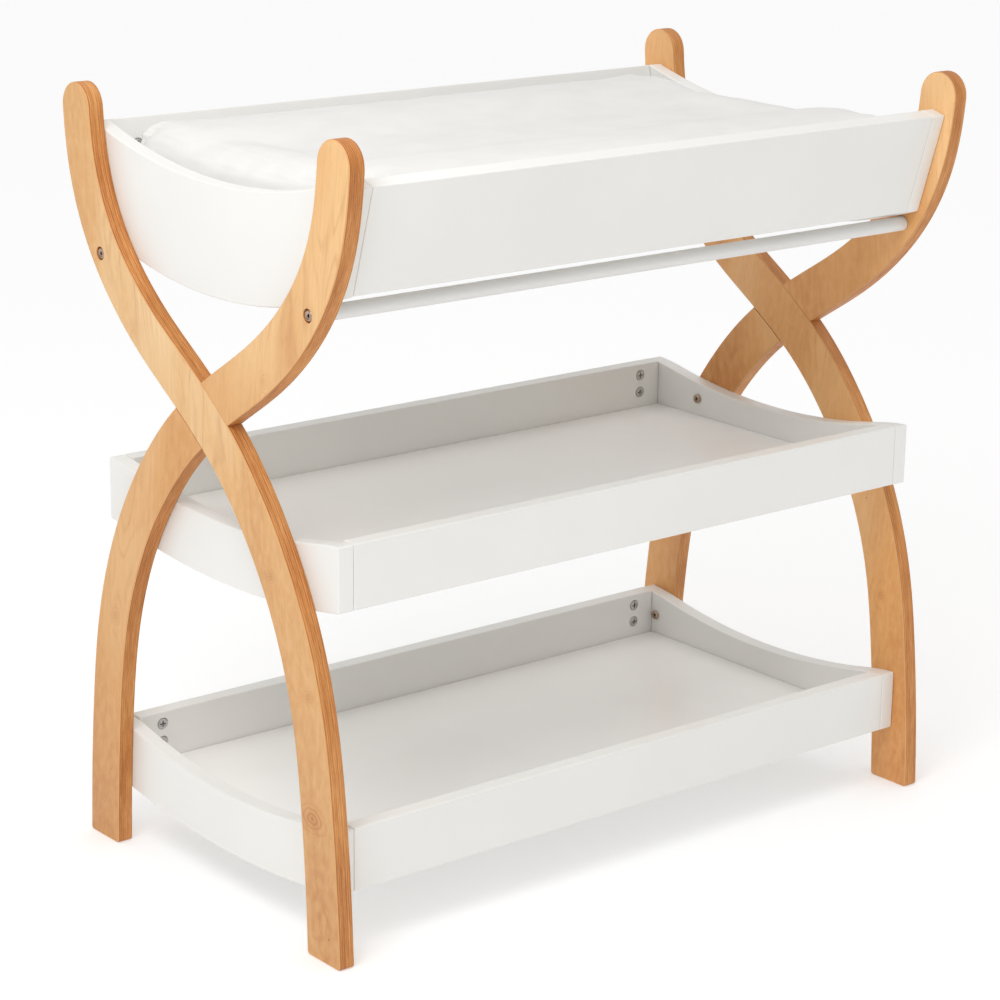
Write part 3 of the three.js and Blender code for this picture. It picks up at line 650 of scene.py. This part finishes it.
outer_leg, inner_leg = leg_mesh("leg_outer", True), leg_mesh("leg_inner", False)
for i, (node, me, half_turn) in enumerate([
    ("leg_front_left", outer_leg, False), ("leg_back_left", inner_leg, False),
    ("leg_back_right", outer_leg, True), ("leg_front_right", inner_leg, True),
]):
    me = turned(me, node) if half_turn else me.copy()
    knots, specks = KNOTS[node]
    seed = (1.37 * (i + 1), 2.71 * (i + 1) + 0.4, 0.93 * (i + 1))
    # the last argument to ply_face is painted shade: darker for the back left leg, a deeper orange for the right legs
    mats = [
        ply_face(f"ply_face_{i}", seed, (5.0, -6.0, 4.0, -5.0)[i], knots, specks, ((1, 1, 1), (0.93, 0.83, 0.70), (1.07, 0.94, 0.82), (1.06, 0.93, 0.81))[i]),
        ply_edge(f"ply_edge_{i}", seed),
    ]
    o = piece(node + "_look", me, [node], mats)
    split_faces(o.data, lambda n, c: 0 if abs(n.x) > 0.93 else 1)

# ---------------------------------------------------------------- rails
paint_rail = white_paint("rail_paint", (233, 232, 229), (0.40, 0.46), (3, 1, 2), 0.2)
for node, y in (("rail_front", -RAIL_Y), ("rail_back", RAIL_Y)):
    half, r, e = HALF_LENGTH - LEG_T - GAP, RAIL_D / 2, 1.2
    prof = [(-half, BOLT_BORE_D / 2), (-half, r - e)]
    prof += [(-half + e * (1 - math.cos(a)), r - e * (1 - math.sin(a))) for a in (0.4, 0.8, 1.2, math.pi / 2)]
    right = [(-x, q) for x, q in prof[::-1]]
    bore = [(half - 41, BOLT_BORE_D / 2), (half - 41, 0.0)]
    left_bore = [(-half + 41, 0.0), (-half + 41, BOLT_BORE_D / 2)]
    me = lathe_x(node, left_bore + prof + right + bore, y, RAIL_Z, 64)
    o = piece(node + "_look", me, [node], [paint_rail])

# ---------------------------------------------------------------- bolts
nickel = metal("bolt_nickel", (196, 170, 152), 0.24)
zinc = metal("cam_zinc", (214, 213, 210), 0.42, 700.0)


def bolt_mesh(name, head_d, head_h, shank, y, z, seat, side):
    """Button head with a rolled rim, a shallow dish and a hexagon socket, head towards -side*X, seat under the head."""
    r = head_d / 2
    s = 2.05
    rows = [
        (1.9, 0.0), (1.9, s), (-head_h + 0.9, s), (-head_h + 0.55, s + 0.45), (-head_h + 0.45, r * 0.56),
        (-head_h + 0.12, r * 0.66), (-head_h, r * 0.76), (-head_h + 0.25, r * 0.87), (-head_h + 0.9, r * 0.955),
        (-head_h + 1.9, r * 0.995), (-0.5, r), (0.0, r - 0.4), (0.0, BOLT_D / 2 + 0.2), (0.4, BOLT_D / 2),
        (shank - 0.8, BOLT_D / 2), (shank, BOLT_D / 2 - 0.8),
    ]
    # from the socket floor outwards over the head and down the shank
    prof = [(seat + side * a, q) for a, q in rows]
    me = lathe_x(name, prof, y, z, 48, hexes=(1, 2))
    return me


def closed_outwards(me):
    bm = bmesh.new()
    bm.from_mesh(me)
    bmesh.ops.recalc_face_normals(bm, faces=bm.faces)
    bm.to_mesh(me)
    bm.free()


for fb, y in (("front", -RAIL_Y), ("back", RAIL_Y)):
    for lr, side in (("left", 1), ("right", -1)):
        node = f"rail_bolt_{fb}_{lr}"
        seat = side * (-HALF_LENGTH + RAIL_BOLT_RECESS - GAP)
        me = bolt_mesh(node, 13.6, 3.4, LEG_T - RAIL_BOLT_RECESS + 38, y, RAIL_Z, seat, side)
        closed_outwards(me)
        piece(node + "_look", me, [node], [nickel], angle=40)

for tray, (ty, tz) in TRAY_BOLTS.items():
    for fb, k in (("front", -1), ("back", 1)):
        for lr, side in (("left", -1), ("right", 1)):
            node = f"{tray}_tray_bolt_{fb}_{lr}"
            me = bolt_mesh(node, 12.5, 3.6, BOARD_T + GAP + 14, k * abs(ty), tz, side * (END_IN - GAP), side)
            closed_outwards(me)
            piece(node + "_look", me, [node], [nickel], angle=40)

# ---------------------------------------------------------------- cam fittings
# in a front board's own frame: the disc's flat face looks along +Y at y = 0, the screw runs to +X


def cam_mesh(name):
    r = CAM_D / 2 - 0.6
    rows = [
        (0.55, 0.0), (0.55, 3.9), (0.15, 4.4), (0.15, 5.6), (0.0, 5.9), (0.0, r - 0.5), (-0.15, r - 0.12), (-0.5, r),
        (-CAM_DEEP + GAP, r), (-CAM_DEEP + GAP, 0.0),
    ]
    # revolve about Y: build about X, then turn
    me = lathe_x(name, [(-a, q) for a, q in rows], 0, 0, 40)
    me.transform(Matrix.Rotation(-math.pi / 2, 4, "Z"))
    closed_outwards(me)
    screw = lathe_x("c", [(3, 2.6), (5, 3), (CAM_FROM_END + GAP + 10.4, 3), (CAM_FROM_END + GAP + 11, 2.4)], 0, 0, 20)
    screw.transform(Matrix.Translation((0, -BOARD_T / 2 * MM, 0)))
    closed_outwards(screw)
    me = cut(me, [screw], "UNION")
    # tapered cross
    arms = []
    for turn in (0, math.pi / 2):
        b = block("c", -4.6, 4.6, -3.4, 1.5, -0.85, 0.85)
        for v in b.vertices:
            if v.co.y < 0:
                v.co.x *= 0.55
                v.co.z *= 0.7
        b.transform(Matrix.Rotation(turn, 4, "Y"))
        closed_outwards(b)
        arms.append(b)
    return cut(me, arms)


def cam_cutter():
    disc = lathe_x("c", [(-1.5, CAM_D / 2 + 0.35), (0.0, CAM_D / 2 + 0.35), (0.35, CAM_D / 2), (CAM_DEEP, CAM_D / 2)], 0, 0, 40)
    disc.transform(Matrix.Rotation(-math.pi / 2, 4, "Z"))
    closed_outwards(disc)
    bore = lathe_x("c", [(2, 3.8), (CAM_FROM_END + 3, 3.8)], 0, 0, 16)
    bore.transform(Matrix.Translation((0, -BOARD_T / 2 * MM, 0)))
    closed_outwards(bore)
    return [disc, bore]


def place_cam(side, turn, y, z, tip=0.0):
    """Matrix of a cam: side -1 left or 1 right end of the board, turn 0 front board or half a turn for the back one."""
    m = Matrix.Translation((side * (SIDE_HALF - CAM_FROM_END) * MM, y * MM, z * MM)) @ Matrix.Rotation(tip, 4, "X")
    if side < 0:
        m = m @ Matrix.Scale(-1, 4, (1, 0, 0))
    return Matrix.Rotation(turn, 4, "Z") @ m


def placed(me, m):
    out = me.copy()
    out.transform(m)
    if m.determinant() < 0:
        out.flip_normals()
    return out


cam_proto = cam_mesh("cam")
cam_tools = cam_cutter()


# ---------------------------------------------------------------- painted boards
paint = [white_paint(f"board_paint_{i}", seed=(1.7 * i, 0.6 * i, 2.3 * i)) for i in range(4)]
# painted light: the tray bottoms get a lighter white than the other boards, which brightens the insides of the trays
lightened_base_paint = white_paint("bottom_paint_lightened", (247, 246, 243), (0.34, 0.46), (0.4, 3.1, 1.2))


def smooth_min(p, q, k):
    h = max(k - abs(p - q), 0) / k
    return min(p, q) - h * h * k / 4


def shelf_end_outline(z0):
    h = SHELF_HALF_DEPTH
    belly = (h * h + SHELF_END_BELLY**2) / (2 * SHELF_END_BELLY)
    pts = []
    for i in range(61):
        y = -h + 2 * h * i / 60
        pts.append((y, z0 + belly - SHELF_END_BELLY - math.sqrt(belly * belly - y * y)))

    def top(y):
        return smooth_min(SHELF_BOARD_H, SHELF_END_TOP_DIP + SHELF_END_TOP_R - math.sqrt(SHELF_END_TOP_R**2 - y * y), 7)

    pts.append((h, z0 + SHELF_BOARD_H))
    flat = h - 6
    n = 90
    for i in range(n + 1):
        y = flat * math.cos(math.pi * i / n)
        pts.append((y, z0 + top(y)))
    pts.append((-h, z0 + SHELF_BOARD_H))
    return round_corners(clean(pts), CORNER, 4)


def top_end_outline():
    c0 = TOP_HALF_BOTTOM
    belly = TOP_Z - TOP_END_BELLY_Z
    br = (c0 * c0 + belly * belly) / (2 * belly)
    yi, zi = on_front_board(TOP_BOARD_H, BOARD_T)
    yi = abs(yi)
    dip = zi - TOP_END_DIP_Z
    dr = (yi * yi + dip * dip) / (2 * dip)
    pts = []
    for i in range(71):
        y = -c0 + 2 * c0 * i / 70
        pts.append((y, TOP_END_BELLY_Z + br - math.sqrt(br * br - y * y)))
    pts.append((TOP_HALF_UP, TOP_Z_UP))
    for i in range(71):
        y = yi - 2 * yi * i / 70
        pts.append((y, TOP_END_DIP_Z + dr - math.sqrt(dr * dr - y * y)))
    pts.append((-TOP_HALF_UP, TOP_Z_UP))
    return round_corners(clean(pts), CORNER, 4)


def bolt_bore(x0, x1, y, z, d=BOLT_BORE_D):
    me = lathe_x("c", [(min(x0, x1), d / 2), (max(x0, x1), d / 2)], y, z, 20)
    return me


def make_tray(tray, front_profile, end_outline, groove, base_box, cams, bolt, seed):
    """cams are (side, y, z, tip, tag) in the front board's frame."""
    gy, g0, g1 = groove
    for fb, turn in (("front", 0.0), ("back", math.pi)):
        me = prism(f"{tray}_{fb}", front_profile, -SIDE_HALF, SIDE_HALF, BOARD_ARRIS * 0.8, 3)
        tools = []
        for side, y, z, tip, tag in cams:
            m = place_cam(side, 0.0, y, z, tip)
            tools += [placed(c, m) for c in cam_tools]
        me = cut(me, tools)
        if turn:
            me = turned(me, f"{tray}_{fb}")
        piece(f"{tray}_tray_{fb}_look", me, [f"{tray}_tray_{fb}"], [paint[seed % 4]])
        for side, y, z, tip, tag in cams:
            lr = "right" if (side > 0) == (turn == 0.0) else "left"
            node = f"{tray}_tray_cam_{fb}_{lr}{tag}"
            me = placed(cam_proto, place_cam(side, turn, y, z, tip))
            piece(node + "_look", me, [node], [zinc], angle=35)
    me = prism(f"{tray}_end", end_outline, -END_OUT, -END_IN, BOARD_ARRIS, 4)
    tools = [block("c", -END_IN - GROOVE, -END_IN + 2, -gy, gy, g0, g1)]
    closed_outwards(tools[0])
    for k in (-1, 1):
        tools.append(bolt_bore(-END_OUT - 2, -END_IN + 2, k * abs(bolt[0]), bolt[1]))
    for side, y, z, tip, tag in cams:
        if side < 0:
            cy = y - BOARD_T / 2 * math.cos(tip)
            cz = z - BOARD_T / 2 * math.sin(tip)
            for k in (-1, 1):
                tools.append(bolt_bore(-END_IN - 12, -END_IN + 2, k * abs(cy), cz, 7.6))
    me = cut(me, tools)
    piece(f"{tray}_tray_end_left_look", me.copy(), [f"{tray}_tray_end_left"], [paint[(seed + 1) % 4]])
    piece(f"{tray}_tray_end_right_look", turned(me, "r"), [f"{tray}_tray_end_right"], [paint[(seed + 2) % 4]])
    hx, hy, z0, z1 = base_box
    ix, iy, zt = END_IN - GAP - 0.4, hy - GROOVE - 0.4, z0 + TONGUE
    outline = [(-hy, z0), (hy, z0), (hy, zt), (iy, zt), (iy, z1), (-iy, z1), (-iy, zt), (-hy, zt)]
    me = prism(f"{tray}_base", round_corners(outline, [0, 0, 0, 0, 0.9, 0.9, 0, 0], 3), -hx, hx)
    tools = []
    for k in (-1, 1):
        tools.append(block("c", min(k * ix, k * (hx + 5)), max(k * ix, k * (hx + 5)), -hy - 5, hy + 5, zt, z1 + 5))
        closed_outwards(tools[-1])
    me = cut(me, tools)
    piece(f"{tray}_tray_base_look", me, [f"{tray}_tray_base"], [lightened_base_paint])


for n, (tray, z0) in enumerate(SHELF_Z.items()):
    h, inner = SHELF_HALF_DEPTH, -(SHELF_HALF_DEPTH - BOARD_T)
    g0, g1 = z0 + SHELF_BASE_UP - GAP, z0 + SHELF_BASE_UP + TONGUE + GAP
    r = BOARD_ARRIS
    profile = round_corners(
        [(-h, z0), (inner, z0), (inner, g0), (inner - GROOVE, g0), (inner - GROOVE, g1), (inner, g1),
         (inner, z0 + SHELF_BOARD_H), (-h, z0 + SHELF_BOARD_H)],
        [r, r * 0.6, 0, 0, 0, 0, r, r], 4)
    hx, hy = END_IN + GROOVE - GAP, h - BOARD_T + GROOVE - GAP
    cams = [(s, inner, z0 + up, 0.0, tag) for s in (-1, 1) for up, tag in zip(SHELF_CAM_UP, ("_low", "_high"))]
    make_tray(tray, profile, shelf_end_outline(z0), (h - BOARD_T + GROOVE, g0, g1),
              (hx, hy, z0 + SHELF_BASE_UP, z0 + SHELF_BASE_UP + BASE_T), cams, TRAY_BOLTS[tray], n)

g0, g1 = TOP_BASE_Z - GAP, TOP_BASE_Z + TONGUE + GAP
groove_y = inner_face_y(TOP_BASE_Z) - GROOVE
profile = round_corners(
    [on_front_board(0, 0), on_front_board(0, BOARD_T), (inner_face_y(g0), g0), (groove_y, g0), (groove_y, g1),
     (inner_face_y(g1), g1), on_front_board(TOP_BOARD_H, BOARD_T), on_front_board(TOP_BOARD_H, 0)],
    [BOARD_ARRIS, 0.8, 0, 0, 0, 0, BOARD_ARRIS, BOARD_ARRIS], 4)
cy, cz = on_front_board(TOP_BOARD_H - TOP_CAM_DOWN, BOARD_T)
make_tray("top", profile, top_end_outline(), (-groove_y, g0, g1),
          (END_IN + GROOVE - GAP, -groove_y - GAP, TOP_BASE_Z, TOP_BASE_Z + BASE_T),
          [(s, cy, cz, lean, "") for s in (-1, 1)], TRAY_BOLTS["top"], 2)

# ---------------------------------------------------------------- pad
PAD_HALF, PAD_Z0 = 424.0, TOP_BASE_Z + BASE_T + 0.8
PAD_CORNER = 44.0


def sstep(x, a, b):
    t = np.clip((x - a) / (b - a), 0, 1)
    return t * t * (3 - 2 * t)


def pad_top(u, v):
    """Height of the cover's top for plan places u along and v across, both from -1 to 1."""
    au, av = np.abs(u), np.abs(v)
    side = 867.5 + 18.5 * sstep(av, 0.20, 0.64) - 0.5 * sstep(av, 0.64, 0.90)
    end = 867.5 + 13.0 * sstep(au, 0.70, 0.895)
    k = 5.0
    hh = np.maximum(k - np.abs(side - end), 0) / k
    top = np.maximum(side, end) + hh * hh * k / 4
    eu, ev = np.clip((au - 0.885) / 0.115, 0, 1), np.clip((av - 0.93) / 0.07, 0, 1)
    du, dv = 36.0 * (1 - np.sqrt(1 - eu * eu)), 18.0 * (1 - np.sqrt(1 - ev * ev))
    return top - np.minimum(np.hypot(du, dv), 36.0)


def rows_of(edges):
    """Lattice places from a list of (from, to, cells)."""
    out = [edges[0][0]]
    for a, b, n in edges:
        out += [a + (b - a) * (i + 1) / n for i in range(n)]
    return np.array(out)


def pad_mesh(shrink):
    us = rows_of([(-1.0, -0.74, 22), (-0.74, 0.74, 44), (0.74, 1.0, 22)])
    vs = rows_of([(-1.0, -0.90, 8), (-0.90, 0.90, 38), (0.90, 1.0, 8)])
    ws = rows_of([(0.0, 1.0, 9)])
    nu, nv, nw = len(us), len(vs), len(ws)
    index, pts = {}, []

    def vid(i, j, k):
        key = (i, j, k)
        if key not in index:
            index[key] = len(pts)
            pts.append((us[i], vs[j], ws[k]))
        return index[key]

    faces = []
    for i in range(nu - 1):
        for j in range(nv - 1):
            faces.append((vid(i, j, 0), vid(i, j + 1, 0), vid(i + 1, j + 1, 0), vid(i + 1, j, 0)))
            faces.append((vid(i, j, nw - 1), vid(i + 1, j, nw - 1), vid(i + 1, j + 1, nw - 1), vid(i, j + 1, nw - 1)))
    for i in range(nu - 1):
        for k in range(nw - 1):
            faces.append((vid(i, 0, k), vid(i + 1, 0, k), vid(i + 1, 0, k + 1), vid(i, 0, k + 1)))
            faces.append((vid(i, nv - 1, k), vid(i, nv - 1, k + 1), vid(i + 1, nv - 1, k + 1), vid(i + 1, nv - 1, k)))
    for j in range(nv - 1):
        for k in range(nw - 1):
            faces.append((vid(0, j, k), vid(0, j, k + 1), vid(0, j + 1, k + 1), vid(0, j + 1, k)))
            faces.append((vid(nu - 1, j, k), vid(nu - 1, j + 1, k), vid(nu - 1, j + 1, k + 1), vid(nu - 1, j, k + 1)))
    p = np.array(pts)
    u, v, w = p[:, 0], p[:, 1], p[:, 2]
    z = PAD_Z0 + (pad_top(u, v) - shrink - PAD_Z0) * w
    half = -(np.vectorize(inner_face_y)(z)) - 1.6 - shrink
    # the lower edge turns under a little
    under = 7.0 * (1 - sstep(w, 0.0, 0.30))
    length = PAD_HALF - shrink - under * sstep(np.abs(u), 0.9, 1.0)
    half = half - under * sstep(np.abs(v), 0.86, 1.0)
    x, y = u * length, v * half
    r = PAD_CORNER
    cx, cy_ = np.abs(x) - (length - r), np.abs(y) - (half - r)
    both = (cx > 0) & (cy_ > 0)
    m = np.maximum(cx, cy_)
    k = np.where(both, m / np.maximum(np.hypot(cx, cy_), 1e-6), 1)
    x = np.where(both, np.sign(x) * (length - r + cx * k), x)
    y = np.where(both, np.sign(y) * (half - r + cy_ * k), y)
    me = mesh_from("pad_look", np.stack([x, y, z], 1), faces)
    return me, w


def co_of(me):
    c = np.zeros(len(me.vertices) * 3)
    me.vertices.foreach_get("co", c)
    return c.reshape(-1, 3)


def set_co(me, c):
    me.vertices.foreach_set("co", c.ravel())
    me.update()


def keep_in_tray(c):
    """Points in metres, held clear of the boards round them."""
    c = c.copy()
    c[:, 2] = np.maximum(c[:, 2], PAD_Z0 * MM)
    lim = (-(np.vectorize(inner_face_y)(c[:, 2] / MM)) - 1.0) * MM
    c[:, 1] = np.clip(c[:, 1], -lim, lim)
    c[:, 0] = np.clip(c[:, 0], -(END_IN - 2.0) * MM, (END_IN - 2.0) * MM)
    return c


SHRINK = 1.0
me, w = pad_mesh(SHRINK)
pad = bpy.data.objects.new("pad_look", me)
scene.collection.objects.link(pad)
rest = co_of(me)
pin = pad.vertex_groups.new(name="rests")
for i, z in enumerate(rest[:, 2]):
    if z < (PAD_Z0 + 4) * MM:
        pin.add([i], 1.0, "REPLACE")
cloth = pad.modifiers.new("cover", "CLOTH")
s = cloth.settings
s.quality, s.mass, s.air_damping = 6, 0.25, 2.0
s.tension_stiffness = s.compression_stiffness = 14.0
s.shear_stiffness, s.bending_stiffness = 5.0, 0.35
s.use_pressure, s.uniform_pressure_force = True, 4.0
s.effector_weights.gravity = 0.0
s.vertex_group_mass = "rests"
s.shrink_min = -0.012
scene.frame_start, scene.frame_end = 1, 20
cloth.point_cache.frame_start, cloth.point_cache.frame_end = 1, 20
for f in range(1, 21):
    scene.frame_set(f)
dg = bpy.context.evaluated_depsgraph_get()
swollen = bpy.data.meshes.new_from_object(pad.evaluated_get(dg))
c = co_of(swollen)
move = c - rest
far = np.linalg.norm(move, axis=1)
cap = 0.0065
move *= np.where(far > cap, cap / np.maximum(far, 1e-9), 1)[:, None]
pad.modifiers.clear()
pad.vertex_groups.clear()
set_co(me, keep_in_tray(rest + move))
scene.frame_set(1)

sub = pad.modifiers.new("sub", "SUBSURF")
sub.levels = sub.render_levels = 1
dg = bpy.context.evaluated_depsgraph_get()
fine = bpy.data.meshes.new_from_object(pad.evaluated_get(dg))
pad.modifiers.clear()
pad.data = fine
me = fine

# creases of the stretched cover: they run along the crest at both ends and fade towards the middle
c = co_of(me)
nrm = np.zeros(len(me.vertices) * 3)
me.vertices.foreach_get("normal", nrm)
nrm = nrm.reshape(-1, 3)
X, Y, Z = c[:, 0] / MM, c[:, 1] / MM, c[:, 2] / MM
rng = np.random.RandomState(7)


def fold_field(a, b, count, la, lb):
    """Smooth ridged field: sums of sines, long along b and short along a, in mm."""
    out = np.zeros_like(a)
    for _ in range(count):
        la_ = la * rng.uniform(0.75, 1.35)
        lb_ = lb * rng.uniform(0.6, 1.6) * rng.choice((-1, 1))
        out += np.sin(2 * np.pi * (a / la_ + b / lb_) + rng.uniform(0, 2 * np.pi)) * rng.uniform(0.6, 1.0)
    return out / math.sqrt(count)


down = np.abs(X) - 372.0                       # distance past the crest, along the table
slope = np.clip(886.0 - Z, 0, 90)
run = np.maximum(down, 0) + slope * 0.8        # way from the crest over the end and down
end_zone = sstep(np.abs(X), 352.0, 384.0) * sstep(Z, 795.0, 830.0)
ripple = fold_field(run, Y, 6, 13.0, 170.0)
ridged = np.sign(ripple) * np.abs(ripple) ** 0.8
fade = 0.55 + 0.45 * np.tanh(fold_field(Y, X, 4, 120.0, 400.0))
height = 1.0 * ridged * end_zone * fade
side_zone = sstep(np.abs(Y), 165.0, 205.0) * (1 - sstep(np.abs(X), 372.0, 392.0))
height += 0.16 * fold_field(np.abs(Y) + slope, X, 5, 14.0, 320.0) * side_zone
height += 0.08 * fold_field(X, Y, 5, 95.0, 160.0) * sstep(Z, 850.0, 862.0) * (1 - end_zone)
c = c + nrm * (height * MM)[:, None]
set_co(me, keep_in_tray(c))
for f in me.polygons:
    f.use_smooth = True
me.materials.clear()
me.materials.append(knit("pad_knit"))
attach(pad, "pad")
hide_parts("pad")

# ---------------------------------------------------------------- floor, light, camera
floor_me = bpy.data.meshes.new("floor")
floor_me.from_pydata([(-40, -40, 0), (40, -40, 0), (40, 40, 0), (-40, 40, 0)], [], [(0, 1, 2, 3)])
floor = bpy.data.objects.new("floor", floor_me)
scene.collection.objects.link(floor)
t = Tree("floor_white")
grain = t.noise(t.mapping((60, 60, 60)), 1.0, 2.0)
floor_me.materials.append(t.done(
    Base_Color=t.mix(t.remap(grain, 0.3, 0.7, 0.0, 1.0), (0.79, 0.79, 0.79, 1), (0.80, 0.80, 0.80, 1)),
    Roughness=0.9, Specular_IOR_Level=0.1, Emission_Color=(1, 1, 1, 1), Emission_Strength=0.27))

SKY_LOW, SKY_HIGH = 0.23, 1.19
world = bpy.data.worlds.new("studio")
scene.world = world
world.use_nodes = True
bg = world.node_tree.nodes["Background"]
bg.inputs["Color"].default_value = (1.0, 1.0, 1.0, 1)
sky = world.node_tree.nodes.new("ShaderNodeTexCoord")
height_of = world.node_tree.nodes.new("ShaderNodeSeparateXYZ")
world.node_tree.links.new(sky.outputs["Generated"], height_of.inputs[0])
grade = world.node_tree.nodes.new("ShaderNodeMapRange")
for k_, x_ in zip(("From Min", "From Max", "To Min", "To Max"), (0.0, 1.0, SKY_LOW, SKY_HIGH)):
    grade.inputs[k_].default_value = x_
world.node_tree.links.new(height_of.outputs["Z"], grade.inputs["Value"])
world.node_tree.links.new(grade.outputs[0], bg.inputs["Strength"])


def soft_box(name, place, aim, size, watts):
    d = bpy.data.lights.new(name, "AREA")
    d.shape, d.size, d.energy = "DISK", size, watts
    o = bpy.data.objects.new(name, d)
    scene.collection.objects.link(o)
    o.location = place
    o.rotation_mode = "QUATERNION"
    o.rotation_quaternion = (Vector(aim) - Vector(place)).to_track_quat("-Z", "Y")
    return o


soft_box("key", (-1.45, -0.75, 2.0), (-0.3, 0.0, 0.7), 1.2, 15.5)
soft_box("front", (1.2, -2.6, 1.35), (0.2, 0.0, 0.5), 2.0, 0.8)

cam_data = bpy.data.cameras.new("camera")
cam = bpy.data.objects.new("camera", cam_data)
scene.collection.objects.link(cam)
yaw, pitch, roll = math.radians(39.3537), math.radians(16.1197), math.radians(0.7569)
fw = Vector((math.sin(yaw) * math.cos(pitch), math.cos(yaw) * math.cos(pitch), -math.sin(pitch)))
right = Vector((math.cos(yaw), -math.sin(yaw), 0))
up = Vector((math.sin(yaw) * math.sin(pitch), math.cos(yaw) * math.sin(pitch), math.cos(pitch)))
r2 = right * math.cos(roll) + up * math.sin(roll)
u2 = -right * math.sin(roll) + up * math.cos(roll)
rot = Matrix((r2, u2, -fw)).transposed().to_4x4()
cam.matrix_world = Matrix.Translation((-2.23372, -2.68787, 1.41979)) @ rot
cam_data.lens, cam_data.sensor_width = 104.65, 36.0
cam_data.clip_start, cam_data.clip_end = 0.05, 100.0
scene.camera = cam

scene.view_settings.view_transform = "Standard"
scene.view_settings.look = "None"
scene.view_settings.exposure = 0.0
scene.view_settings.gamma = 1.0

bpy.data.collections.remove(scratch)
bpy.context.view_layer.update()
